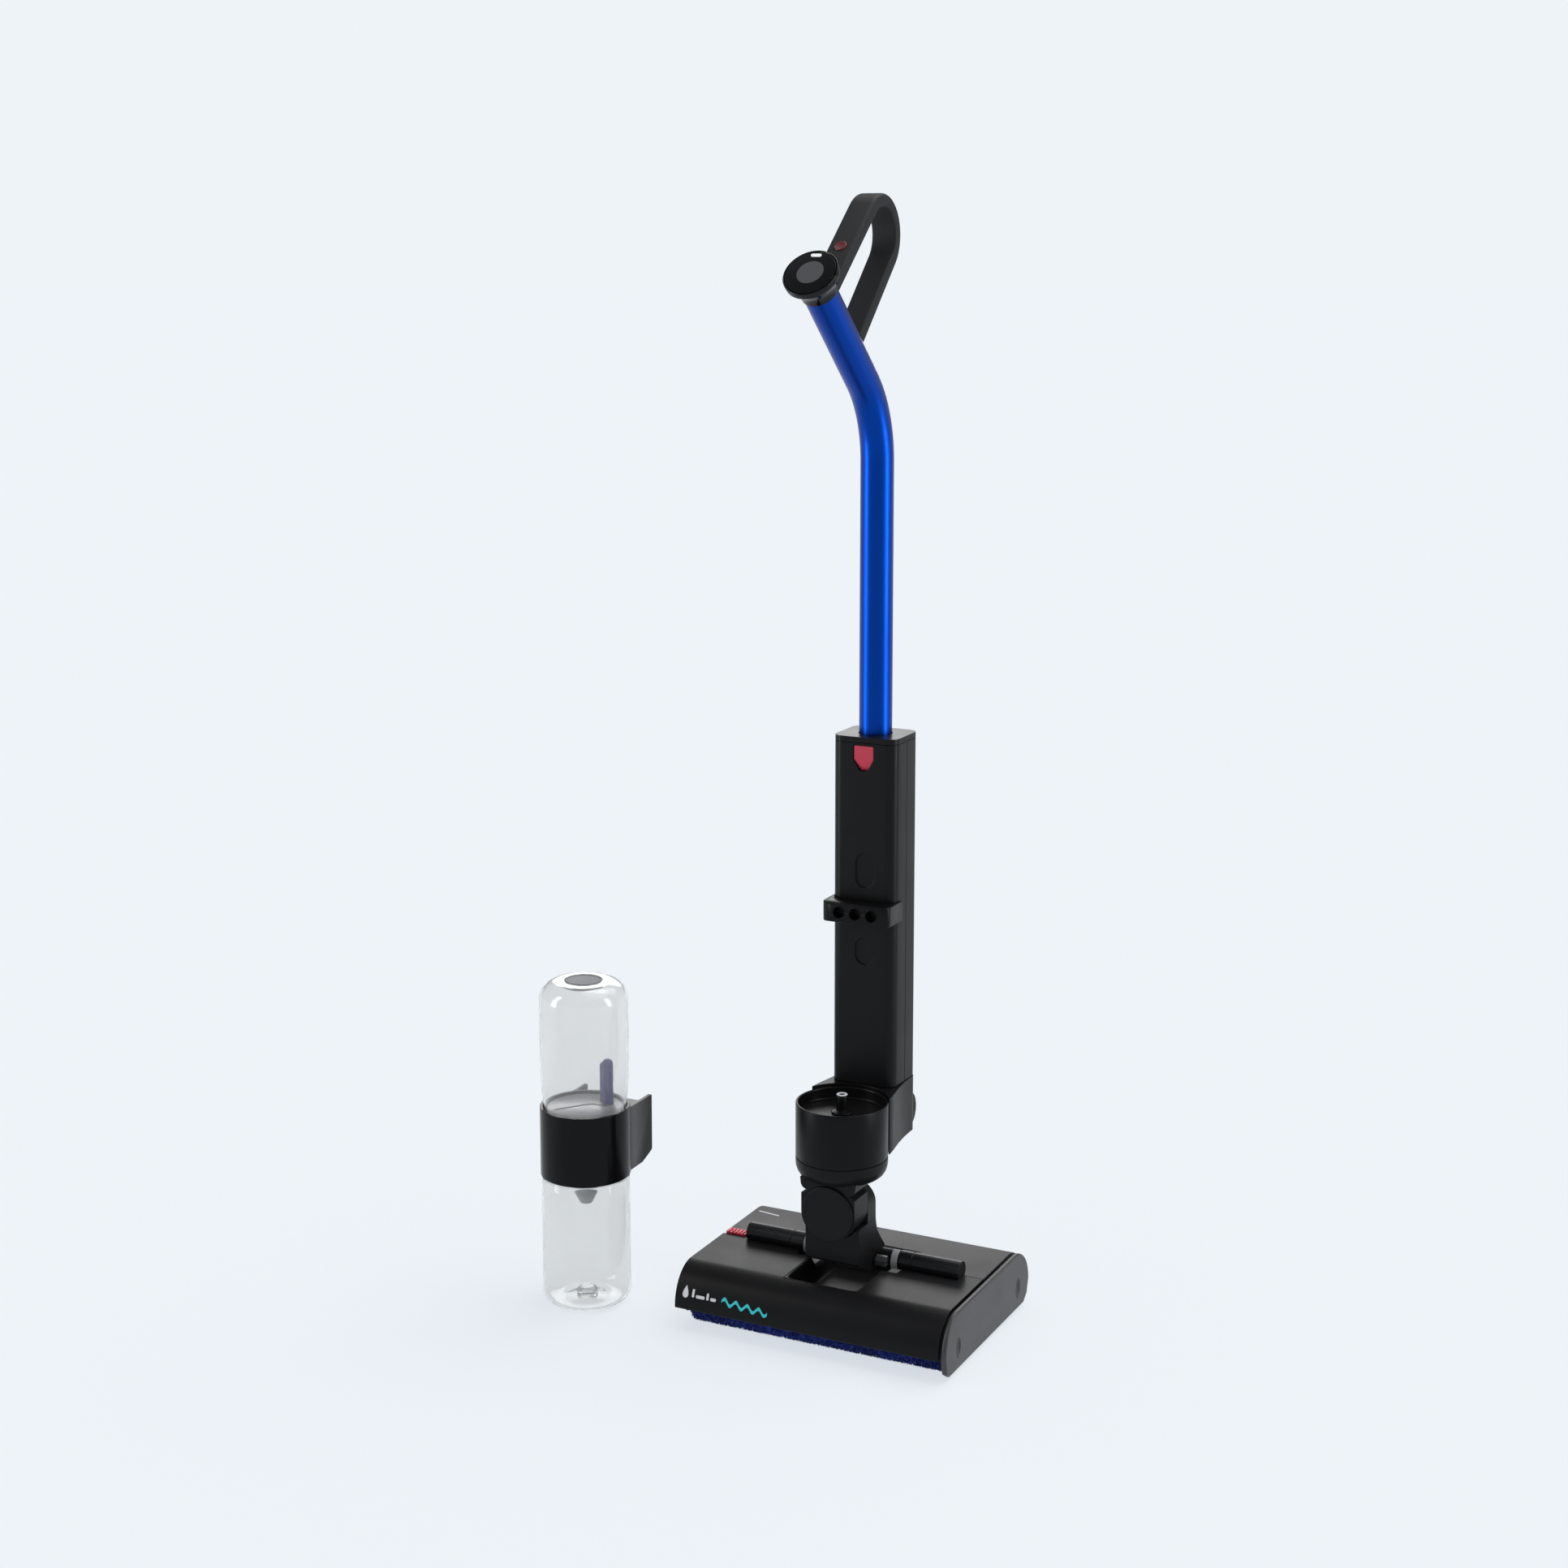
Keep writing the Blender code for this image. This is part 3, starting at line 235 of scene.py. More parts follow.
def rounded(piece, width, segments=3, angle=32):
    """The piece with its sharp edges rounded, shaded smoothly, and moved to the machine's place."""
    form = bmesh.new()
    form.from_mesh(piece.data)
    bmesh.ops.remove_doubles(form, verts=form.verts, dist=0.00002)
    bmesh.ops.dissolve_limit(form, angle_limit=0.002, verts=form.verts, edges=form.edges)
    form.to_mesh(piece.data)
    form.free()
    piece.data.shade_smooth()
    edges = piece.modifiers.new("rounded_edges", "BEVEL")
    edges.width = width
    edges.segments = segments
    edges.limit_method = "ANGLE"
    edges.angle_limit = math.radians(angle)
    edges.harden_normals = True
    edges.miter_outer = "MITER_ARC"
    return settled(piece, MACHINE)


def group_socket(tree, name, kind, way, value=None):
    """One named input or output of a shader group."""
    socket = tree.interface.new_socket(name, in_out=way, socket_type=kind)
    if value is not None:
        socket.default_value = value


def grain_group():
    """Spark-eroded mould grain: fine height, and slow patches where handling has polished it."""
    tree = bpy.data.node_groups.new("mould_grain", "ShaderNodeTree")
    group_socket(tree, "Grain Scale", "NodeSocketFloat", "INPUT", 1800)
    group_socket(tree, "Patch Scale", "NodeSocketFloat", "INPUT", 18)
    group_socket(tree, "Height", "NodeSocketFloat", "OUTPUT")
    group_socket(tree, "Patches", "NodeSocketFloat", "OUTPUT")
    entry = tree.nodes.new("NodeGroupInput")
    leave = tree.nodes.new("NodeGroupOutput")
    place = tree.nodes.new("ShaderNodeTexCoord")
    grain = tree.nodes.new("ShaderNodeTexNoise")
    grain.inputs["Detail"].default_value = 3
    grain.inputs["Roughness"].default_value = 0.6
    patch = tree.nodes.new("ShaderNodeTexNoise")
    patch.inputs["Detail"].default_value = 4
    for noise, socket in ((grain, "Grain Scale"), (patch, "Patch Scale")):
        tree.links.new(place.outputs["Object"], noise.inputs["Vector"])
        tree.links.new(entry.outputs[socket], noise.inputs["Scale"])
    tree.links.new(grain.outputs["Fac"], leave.inputs["Height"])
    tree.links.new(patch.outputs["Fac"], leave.inputs["Patches"])
    return tree


def wear_group():
    """A mask of worn edges: where the surface is most convex, broken up by a fine noise."""
    tree = bpy.data.node_groups.new("edge_wear", "ShaderNodeTree")
    group_socket(tree, "Amount", "NodeSocketFloat", "INPUT", 0.5)
    group_socket(tree, "Mask", "NodeSocketFloat", "OUTPUT")
    entry = tree.nodes.new("NodeGroupInput")
    leave = tree.nodes.new("NodeGroupOutput")
    shape = tree.nodes.new("ShaderNodeNewGeometry")
    convex = tree.nodes.new("ShaderNodeMapRange")
    convex.inputs["From Min"].default_value = 0.54
    convex.inputs["From Max"].default_value = 0.62
    tree.links.new(shape.outputs["Pointiness"], convex.inputs["Value"])
    place = tree.nodes.new("ShaderNodeTexCoord")
    broken = tree.nodes.new("ShaderNodeTexNoise")
    broken.inputs["Scale"].default_value = 260
    tree.links.new(place.outputs["Object"], broken.inputs["Vector"])
    product = tree.nodes.new("ShaderNodeMath")
    product.operation = "MULTIPLY"
    tree.links.new(convex.outputs["Result"], product.inputs[0])
    tree.links.new(broken.outputs["Fac"], product.inputs[1])
    scaled = tree.nodes.new("ShaderNodeMath")
    scaled.operation = "MULTIPLY"
    tree.links.new(product.outputs["Value"], scaled.inputs[0])
    tree.links.new(entry.outputs["Amount"], scaled.inputs[1])
    tree.links.new(scaled.outputs["Value"], leave.inputs["Mask"])
    return tree


MOULD_GRAIN = grain_group()
EDGE_WEAR = wear_group()


def placed_group(tree, group, **values):
    """A shader group set into a material's tree with its own values."""
    node = tree.nodes.new("ShaderNodeGroup")
    node.node_tree = group
    for name, value in values.items():
        node.inputs[name.replace("_", " ")].default_value = value
    return node


def mixed_colour(tree, factor, first, second):
    """A node that mixes two colours by a factor socket; the first may itself be a socket."""
    mix = tree.nodes.new("ShaderNodeMix")
    mix.data_type = "RGBA"
    if isinstance(first, tuple):
        mix.inputs[6].default_value = (*first, 1)
    else:
        tree.links.new(first, mix.inputs[6])
    mix.inputs[7].default_value = (*second, 1)
    tree.links.new(factor, mix.inputs[0])
    return mix.outputs[2]


def spread(tree, value, low, high):
    """A value between two limits, driven by a factor socket."""
    change = tree.nodes.new("ShaderNodeMapRange")
    change.inputs["From Min"].default_value = 0.3
    change.inputs["From Max"].default_value = 0.7
    change.inputs["To Min"].default_value = low
    change.inputs["To Max"].default_value = high
    tree.links.new(value, change.inputs["Value"])
    return change.outputs["Result"]


def moulded(name, colour, rough, grain=1800, depth=0.00003, specular=0.3, worn=2.2, coat=0.0):
    """Injection-moulded plastic: mould grain, polished patches and slightly paler worn edges."""
    material = bpy.data.materials.new(name)
    material.use_nodes = True
    tree = material.node_tree
    shader = tree.nodes["Principled BSDF"]
    surface = placed_group(tree, MOULD_GRAIN, Grain_Scale=grain, Patch_Scale=16)
    edge = placed_group(tree, EDGE_WEAR, Amount=0.6)
    paler = tuple(min(1, c * worn + 0.004) for c in colour)
    lighter = tuple(c * 1.25 for c in colour)
    body = mixed_colour(tree, surface.outputs["Patches"], colour, lighter)
    worn_body = mixed_colour(tree, edge.outputs["Mask"], body, paler)
    tree.links.new(worn_body, shader.inputs["Base Color"])
    tree.links.new(spread(tree, surface.outputs["Patches"], rough * 0.9, rough * 1.1),
                   shader.inputs["Roughness"])
    bump = tree.nodes.new("ShaderNodeBump")
    bump.inputs["Strength"].default_value = 0.35
    bump.inputs["Distance"].default_value = depth
    tree.links.new(surface.outputs["Height"], bump.inputs["Height"])
    tree.links.new(bump.outputs["Normal"], shader.inputs["Normal"])
    shader.inputs["Specular IOR Level"].default_value = specular
    shader.inputs["Coat Weight"].default_value = coat
    shader.inputs["Coat Roughness"].default_value = 0.12
    return material


def nose_arc(inset, count=28):
    """The rounded nose in (y, z), from its lower edge to the flat deck."""
    return arc(NOSE[0], (NOSE[1][0] - inset, NOSE[1][1] - inset), 180, 90, count)


def neck_opening(name):
    """A tool in the shape of the opening: wide at the hinge, narrow where the neck leans."""
    half, slot = OPENING_HALF, SLOT_HALF
    outline = [(-slot, -0.0822), (slot, -0.0822), (slot, SLOT_BACK), (half, SLOT_BACK),
               (half, 0.0400), (-half, 0.0400), (-half, SLOT_BACK), (-slot, SLOT_BACK)]
    return slab(name, [outline], "Z", 0.045, 0.085)


black_satin = moulded("black_satin", SATIN_BLACK, 0.36, specular=0.10)
lip = 0.0222
front_outline = ([(-0.112, lip)] + nose_arc(0) + [(SEAM_Y - 0.0002, DECK), (SEAM_Y - 0.0002, DECK - SKIN)]
                 + nose_arc(SKIN)[::-1] + [(-0.112 + SKIN, lip)])
front_shell = slab("front_shell_moulding", [front_outline], "X", HEAD_LEFT, HEAD_RIGHT)
carved(front_shell, neck_opening("front_opening"),
       slab("front_tab_notch", [[(-0.152, -0.0042), (-0.1208, -0.0042), (-0.1208, 0.0082),
                                 (-0.152, 0.0082)]], "Z", 0.050, 0.080))
rounded(front_shell, 0.0005, 3)
front_shell.data.materials.append(black_satin)
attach(front_shell, "head")
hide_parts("front_shell")


# ==== Generic marks on the front shell ========================================================
# A plain white droplet with four bars, and a cyan wave, pad-printed low on the nose. They stand in for
# printed marks and say nothing; the ink is about a tenth of a millimetre thick.
def printed(name, colour, outlines, depth=0.00016):
    """Ink that lies on the nose inside flat outlines drawn in (x, z)."""
    outer = arc(NOSE[0], (NOSE[1][0] + depth, NOSE[1][1] + depth), 180, 90, 60)
    inner = arc(NOSE[0], (NOSE[1][0] + 0.00003, NOSE[1][1] + 0.00003), 180, 90, 60)
    ink = slab(name, [outer + inner[::-1]], "X", -0.149, -0.02)
    for number, outline in enumerate(outlines):
        tool = slab(f"{name}_shape_{number}", [outline], "Y", -0.130, -0.079)
        if number == 0:
            tools = tool
        else:
            carved(tools, tool, operation="UNION")
    carved(ink, tools, operation="INTERSECT")
    ink.matrix_world = Matrix.Translation(MACHINE)
    settled(ink)
    ink_look = moulded(name + "_ink", colour, 0.45, 2600, 0.00001, 0.4, 1.0)
    ink.data.materials.append(ink_look)
    return ink


def droplet(x, z, size, count=24):
    """A water drop's outline in (x, z): a round foot and a point on top."""
    points = []
    for step in range(count):
        angle = 2 * math.pi * step / count
        across = math.sin(angle) * math.sin(angle / 2) ** 1.4
        points.append((x + 0.78 * size * across, z + size * math.cos(angle)))
    return points


wave_top = [(-0.0970 + 0.0520 * i / 60, 0.0398 - 0.0036 * i / 60 + 0.0026 * math.sin(i * math.pi / 7.5))
            for i in range(61)]
wave = wave_top + [(x, z - 0.0034) for x, z in wave_top[::-1]]
bars = [eased([(x, 0.0360, 0.0011), (x + width, 0.0360, 0.0011), (x + width, top, 0.0011),
               (x, top, 0.0011)])
        for x, width, top in ((-0.1310, 0.0026, 0.0440), (-0.1264, 0.0100, 0.0390),
                              (-0.1144, 0.0026, 0.0425), (-0.1098, 0.0064, 0.0390))]
white_mark = printed("white_mark", (0.80, 0.80, 0.80), [droplet(-0.1385, 0.0405, 0.0060)] + bars)
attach(white_mark, "head")
cyan_mark = printed("cyan_mark", (0.03, 0.62, 0.66), [wave])
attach(cyan_mark, "head")


# ==== Rear cover of the cleaning head =========================================================
# The charcoal half of the head, in the same grained ABS, with the rounded tail over the rear
# roller. A pale streak is printed near its back left corner.
TAIL = ((0.074, 0.026), (0.038, 0.0375))
CHARCOAL = (0.040, 0.037, 0.039)


def tail_arc(inset, count=28):
    """The rounded tail in (y, z), from the flat deck to its lower edge."""
    return arc(TAIL[0], (TAIL[1][0] - inset, TAIL[1][1] - inset), 90, 0, count)


charcoal_satin = moulded("charcoal_satin", CHARCOAL, 0.46, 1500, specular=0.2)
rear_outline = ([(SEAM_Y + 0.0002, DECK)] + tail_arc(0) + tail_arc(SKIN)[::-1]
                + [(SEAM_Y + 0.0002, DECK - SKIN)])
rear_cover = slab("rear_cover_moulding", [rear_outline], "X", HEAD_LEFT, HEAD_RIGHT)
carved(rear_cover, neck_opening("rear_opening"),
       slab("rear_tab_notch", [[(-0.152, -0.0042), (-0.1208, -0.0042), (-0.1208, 0.0082),
                                (-0.152, 0.0082)]], "Z", 0.050, 0.080))
rounded(rear_cover, 0.0007, 3)
rear_cover.data.materials.append(charcoal_satin)
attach(rear_cover, "head")
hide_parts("rear_cover")

streak = slab("rear_streak", [eased([(-0.1440, 0.0655, 0.0008), (-0.1180, 0.0620, 0.0008),
                                     (-0.1180, 0.0640, 0.0008), (-0.1440, 0.0675, 0.0008)])],
              "Z", DECK + 0.00004, DECK + 0.0002)
streak.matrix_world = Matrix.Translation(MACHINE)
settled(streak)
streak.data.materials.append(white_mark.data.materials[0])
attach(streak, "head")


# ==== Well under the neck =====================================================================
# A soft-sided basin that lines the opening and leaves room for the neck to lean back. It is a
# thin moulding that sits flush with the deck on all four sides.
WELL_DEPTH = 0.0272
WELL_STEPS = 30


def soft_step(value):
    """A smooth rise from 0 to 1."""
    value = min(max(value, 0), 1)
    return value * value * (3 - 2 * value)


def dip(x, y):
    """How far the liner lies below the deck at a point of the opening."""
    half, front, back = OPENING_HALF - 0.0004, -0.0818, 0.0396
    slot = soft_step((SLOT_HALF - 0.0004 - abs(x)) / 0.0085)
    slot *= soft_step((y - front) / 0.0220) * soft_step((back - y) / 0.0080)
    trough = soft_step((half - abs(x)) / 0.0030) * soft_step((y - SLOT_BACK - 0.0004) / 0.0070)
    trough *= soft_step((back - y) / 0.0080)
    return max(WELL_DEPTH * slot, 0.0105 * trough)


def basin():
    """The liner as a fine grid over the opening, which dips smoothly between its edges."""
    wide, narrow = OPENING_HALF - 0.0004, SLOT_HALF - 0.0004
    stops = [-wide + (wide - narrow) * i / 10 for i in range(10)]
    stops += [-narrow + 2 * narrow * i / 48 for i in range(49)]
    stops += [narrow + (wide - narrow) * i / 10 for i in range(1, 11)]
    ledge = SLOT_BACK + 0.0004
    rows = [-0.0818 + (ledge + 0.0818) * j / WELL_STEPS for j in range(WELL_STEPS)]
    rows += [ledge + (0.0396 - ledge) * j / WELL_STEPS for j in range(WELL_STEPS + 1)]
    form = bmesh.new()
    grid = [[form.verts.new((x, y, DECK - 0.0001 - dip(x, y))) for x in stops] for y in rows]
    for j in range(len(rows) - 1):
        for i in range(len(stops) - 1):
            if rows[j + 1] > ledge + 0.00001 or 9 < i < 58:
                form.faces.new((grid[j][i], grid[j][i + 1], grid[j + 1][i + 1], grid[j + 1][i]))
    loose = [point for point in form.verts if not point.link_faces]
    bmesh.ops.delete(form, geom=loose, context="VERTS")
    return drawn("neck_well_liner", form)


well = basin()
wall = well.modifiers.new("wall", "SOLIDIFY")
wall.thickness = 0.0012
wall.offset = -1
well.data.shade_smooth()
settled(well, MACHINE)
well.data.materials.append(black_satin)
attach(well, "head")
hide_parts("neck_well")


# ==== End plates ==============================================================================
# The left plate closes the head. The right one is the charcoal cap that pulls out with the
# debris trays; it has a rounded rim and two finger dimples at the ends of the rollers.
CAP_GREY = (0.052, 0.050, 0.051)
ROLLER_AXES_Y = (-0.080, 0.080)
ROLLER_Z = 0.0223


def side_outline(inset, foot):
    """The head's side outline in (y, z)."""
    return ([(-0.1010, foot), (-0.1085, 0.0085)] + nose_arc(inset) + tail_arc(inset)
            + [(0.1075, 0.0110), (0.0985, foot)])


cap_look = moulded("cap_charcoal", CAP_GREY, 0.42, 1500)
end_cap = slab("right_end_cap_moulding", [side_outline(0.0, 0.0036)], "X", 0.1445, 0.1500)
rounded(end_cap, 0.0020, 5, 40)
for dimple_y in ROLLER_AXES_Y:
    form = bmesh.new()
    bmesh.ops.create_uvsphere(form, u_segments=48, v_segments=24, radius=1)
    dimple_place = MACHINE + Vector((0.1508, dimple_y, ROLLER_Z + 0.004))
    bmesh.ops.transform(form, matrix=Matrix.Translation(dimple_place)
                        @ Matrix.Diagonal((0.0030, 0.0062, 0.0115, 1)), verts=form.verts)
    carved(end_cap, drawn("dimple", form))
end_cap.data.shade_smooth()
end_cap.data.set_sharp_from_angle(angle=math.radians(40))
even = end_cap.modifiers.new("even_shading", "WEIGHTED_NORMAL")
even.keep_sharp = True
settled(end_cap)
end_cap.data.materials.append(cap_look)
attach(end_cap, "end_cassette")
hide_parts("right_end_cap")

left_plate = slab("left_end_plate_moulding", [side_outline(0.0029, 0.0052)], "X", -0.1470, -0.1431)
carved(left_plate, slab("plate_heel", [[(-0.120, 0), (-0.0945, 0), (-0.0945, 0.0220), (-0.120, 0.0220)]],
                        "X", -0.150, -0.140),
       slab("plate_toe", [[(-0.120, 0), (-0.0600, 0), (-0.0600, 0.0125), (-0.120, 0.0125)]],
            "X", -0.150, -0.140))
rounded(left_plate, 0.0012, 3, 40)
left_plate.data.materials.append(black_satin)
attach(left_plate, "head")
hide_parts("left_end_plate")


# ==== Cleaning rollers ========================================================================
# Two navy microfibre sleeves. Each is a knitted backing glued round a plastic core, with a dense
# pile of short fibres that lie slightly to one side; the tufts are set out by a node tree.
PILE_LENGTH = 0.0022
SLEEVE_RADIUS = 0.0203
SLEEVE_HALF = 0.1385
TUFTS = 15000
NAVY = (0.004, 0.008, 0.075)


def microfibre():
    """Dark navy pile, paler in scattered clumps and streaks, with a soft sheen."""
    material = bpy.data.materials.new("navy_pile")
    material.use_nodes = True
    tree = material.node_tree
    shader = tree.nodes["Principled BSDF"]
    place = tree.nodes.new("ShaderNodeTexCoord")
    clumps = tree.nodes.new("ShaderNodeTexNoise")
    clumps.inputs["Scale"].default_value = 260
    clumps.inputs["Detail"].default_value = 5
    tree.links.new(place.outputs["Object"], clumps.inputs["Vector"])
    streaks = tree.nodes.new("ShaderNodeTexNoise")
    streaks.inputs["Scale"].default_value = 30
    tree.links.new(place.outputs["Object"], streaks.inputs["Vector"])
    both = tree.nodes.new("ShaderNodeMath")
    both.operation = "MULTIPLY"
    tree.links.new(clumps.outputs["Fac"], both.inputs[0])
    tree.links.new(streaks.outputs["Fac"], both.inputs[1])
    tone = tree.nodes.new("ShaderNodeMapRange")
    tone.inputs["From Min"].default_value = 0.12
    tone.inputs["From Max"].default_value = 0.42
    tree.links.new(both.outputs["Value"], tone.inputs["Value"])
    colour = mixed_colour(tree, tone.outputs["Result"], NAVY, (0.010, 0.028, 0.200))
    tree.links.new(colour, shader.inputs["Base Color"])
    shader.inputs["Roughness"].default_value = 0.85
    shader.inputs["Specular IOR Level"].default_value = 0.2
    shader.inputs["Sheen Weight"].default_value = 0.35
    shader.inputs["Sheen Roughness"].default_value = 0.4
    shader.inputs["Sheen Tint"].default_value = (0.15, 0.25, 0.9, 1)
    bump = tree.nodes.new("ShaderNodeBump")
    bump.inputs["Distance"].default_value = 0.0004
    tree.links.new(clumps.outputs["Fac"], bump.inputs["Height"])
    tree.links.new(bump.outputs["Normal"], shader.inputs["Normal"])
    return material


def pile_tree(material):
    """Tufts scattered over a sleeve: short four-sided cones that stand on its surface."""
    tree = bpy.data.node_groups.new("pile", "GeometryNodeTree")
    tree.interface.new_socket("Geometry", in_out="INPUT", socket_type="NodeSocketGeometry")
    for name, value in (("Tufts per area", 400000.0), ("Pile length", 0.002), ("Tuft radius", 0.0005)):
        socket = tree.interface.new_socket(name, in_out="INPUT", socket_type="NodeSocketFloat")
        socket.default_value = value
    tree.interface.new_socket("Geometry", in_out="OUTPUT", socket_type="NodeSocketGeometry")
    entry = tree.nodes.new("NodeGroupInput")
    leave = tree.nodes.new("NodeGroupOutput")
    scatter = tree.nodes.new("GeometryNodeDistributePointsOnFaces")
    scatter.inputs["Seed"].default_value = 7
    cone = tree.nodes.new("GeometryNodeMeshCone")
    cone.fill_type = "NONE"
    cone.inputs["Vertices"].default_value = 4
    cone.inputs["Side Segments"].default_value = 1
    cone.inputs["Radius Top"].default_value = 0.00008
    place = tree.nodes.new("GeometryNodeInstanceOnPoints")
    lean = tree.nodes.new("FunctionNodeRandomValue")
    lean.data_type = "FLOAT_VECTOR"
    lean.inputs[0].default_value = (-0.35, -0.35, -3.14)
    lean.inputs[1].default_value = (0.35, 0.35, 3.14)
    lean.inputs["Seed"].default_value = 11
    turn = tree.nodes.new("FunctionNodeRotateRotation")
    turn.rotation_space = "LOCAL"
    size = tree.nodes.new("FunctionNodeRandomValue")
    size.inputs[2].default_value = 0.75
    size.inputs[3].default_value = 1.05
    size.inputs["Seed"].default_value = 5
    real = tree.nodes.new("GeometryNodeRealizeInstances")
    joined = tree.nodes.new("GeometryNodeJoinGeometry")
    paint = tree.nodes.new("GeometryNodeSetMaterial")
    paint.inputs["Material"].default_value = material
    link = tree.links.new
    link(entry.outputs["Geometry"], scatter.inputs["Mesh"])
    link(entry.outputs["Tufts per area"], scatter.inputs["Density"])
    link(entry.outputs["Pile length"], cone.inputs["Depth"])
    link(entry.outputs["Tuft radius"], cone.inputs["Radius Bottom"])
    link(scatter.outputs["Points"], place.inputs["Points"])
    link(cone.outputs["Mesh"], place.inputs["Instance"])
    link(scatter.outputs["Rotation"], turn.inputs["Rotation"])
    link(lean.outputs[0], turn.inputs["Rotate By"])
    link(turn.outputs["Rotation"], place.inputs["Rotation"])
    link(size.outputs[1], place.inputs["Scale"])
    link(place.outputs["Instances"], real.inputs["Geometry"])
    link(entry.outputs["Geometry"], joined.inputs["Geometry"])
    link(real.outputs["Geometry"], joined.inputs["Geometry"])
    link(joined.outputs["Geometry"], paint.inputs["Geometry"])
    link(paint.outputs["Geometry"], leave.inputs["Geometry"])
    return tree


def set_inputs(modifier, tree, **values):
    """Set a node modifier's inputs by their sockets' identifiers."""
    for item in tree.interface.items_tree:
        name = item.name.replace(" ", "_")
        if item.item_type == "SOCKET" and item.in_out == "INPUT" and name in values:
            modifier[item.identifier] = values[name]


def ringed(name, profile, closed=False, steps=64):
    """A turned form about +Z from (radius, height) points that run down its outer side."""
    form = bmesh.new()
    rings = []
    for radius, height in profile:
        if radius < 0.00001:
            rings.append([form.verts.new((0, 0, height))])
        else:
            rings.append([form.verts.new((radius * math.cos(2 * math.pi * k / steps),
                                          radius * math.sin(2 * math.pi * k / steps), height))
                          for k in range(steps)])
    pairs = list(zip(rings, rings[1:]))
    if closed:
        pairs.append((rings[-1], rings[0]))
    for upper, lower in pairs:
        for k in range(steps):
            ring = [upper[k % len(upper)], lower[k % len(lower)],
                    lower[(k + 1) % steps % len(lower)], upper[(k + 1) % steps % len(upper)]]
            corners = list(dict.fromkeys(ring))
            if len(corners) > 2:
                form.faces.new(corners)
    bmesh.ops.recalc_face_normals(form, faces=form.faces)
    piece = drawn(name, form)
    piece.data.shade_smooth()
    piece.data.set_sharp_from_angle(angle=math.radians(32))
    return piece


def sleeve(name, y):
    """A sleeve's backing with softly rounded ends, laid along X on a roller's axis."""
    half = SLEEVE_HALF
    ends = arc((SLEEVE_RADIUS - 0.002, half - 0.002), (0.002, 0.002), 90, 0, 4)
    profile = [(0.0145, half)] + ends + [(SLEEVE_RADIUS, 0)] + [(r, -h) for r, h in ends[::-1]]
    profile.append((0.0145, -half))
    backing = ringed(name, profile, closed=True)
    backing.matrix_world = (Matrix.Translation(MACHINE + Vector((0, y, ROLLER_Z)))
                            @ Matrix.Rotation(math.pi / 2, 4, "Y"))
    return settled(backing)


pile = microfibre()
tufting = pile_tree(pile)
for side, body, y in (("front", "front_roller", ROLLER_AXES_Y[0]), ("rear", "rear_roller", ROLLER_AXES_Y[1])):
    roller = sleeve(side + "_pile_sleeve", y)
    roller.data.materials.append(pile)
    grow = roller.modifiers.new("pile", "NODES")
    grow.node_group = tufting
    sleeve_area = 2 * math.pi * SLEEVE_RADIUS * 2 * SLEEVE_HALF
    set_inputs(grow, tufting, Tufts_per_area=TUFTS / sleeve_area, Pile_length=PILE_LENGTH,
               Tuft_radius=0.0006)
    settled(roller)
    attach(roller, body)
    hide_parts(side + "_roller_sleeve")


# ==== Hinge bars ==============================================================================
# Two long half-round covers on the deck, gloss-moulded, over the bearings that the neck reclines
# in. Each has a stepped collar at its inner end.
HINGE_Z = 0.069
BAR_RADIUS = 0.0105
GLOSS = (0.008, 0.008, 0.009)

bar_black = moulded("bar_black", GLOSS, 0.28, 2600, 0.00002, 0.25)
for side_name, side in (("left", -1), ("right", 1)):
    inner, outer = sorted((side * 0.054, side * 0.120))
    half_round = arc((0, HINGE_Z), (BAR_RADIUS,) * 2, -28, 208, 40)
    bar = slab(f"hinge_cover_{side_name}", [half_round], "X", inner, outer)
    groove = slab("groove", [arc((0, HINGE_Z), (0.013,) * 2, -40, 220, 40)
                             + arc((0, HINGE_Z), (BAR_RADIUS - 0.0006,) * 2, 220, -40, 40)],
                  "X", side * 0.068 - 0.0006, side * 0.068 + 0.0006)
    carved(bar, groove)
    rounded(bar, 0.0012, 4, 40)
    bar.data.materials.append(bar_black)
    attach(bar, "head")
    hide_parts("hinge_bar_" + side_name)


# ==== Head release tab ========================================================================
# The red slide beside the left bar that frees the end cap: acetal, with five grip ribs.
RED = (0.60, 0.030, 0.070)

red_plastic = moulded("red_plastic", RED, 0.38, 1600, 0.00002, 0.4, 1.3)
tab = slab("head_release_slide", [eased([(-0.1478, -0.0036, 0.0015), (-0.1250, -0.0036, 0.0015),
                                         (-0.1250, 0.0076, 0.0015), (-0.1478, 0.0076, 0.0015)])],
           "Z", 0.0614, 0.0655)
for number in range(5):
    rib_x = -0.1450 + 0.0040 * number
    carved(tab, slab(f"rib_{number}", [eased([(rib_x, -0.0024, 0.0005), (rib_x + 0.0016, -0.0024, 0.0005),
                                              (rib_x + 0.0016, 0.0064, 0.0005), (rib_x, 0.0064, 0.0005)], 3)],
                     "Z", 0.0650, 0.0664), operation="UNION")
rounded(tab, 0.0004, 2, 40)
tab.data.materials.append(red_plastic)
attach(tab, "release_tab")
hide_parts("head_release_tab")


# ==== Yoke and detent clips ===================================================================
# The glass-filled nylon block that reclines between the bars and holds the neck's swivel. A dark
# sprung clip each side keeps the machine upright, and a pale collar wraps each end of the barrel.
SWIVEL_Z = 0.132
NECK_HALF = 0.0297


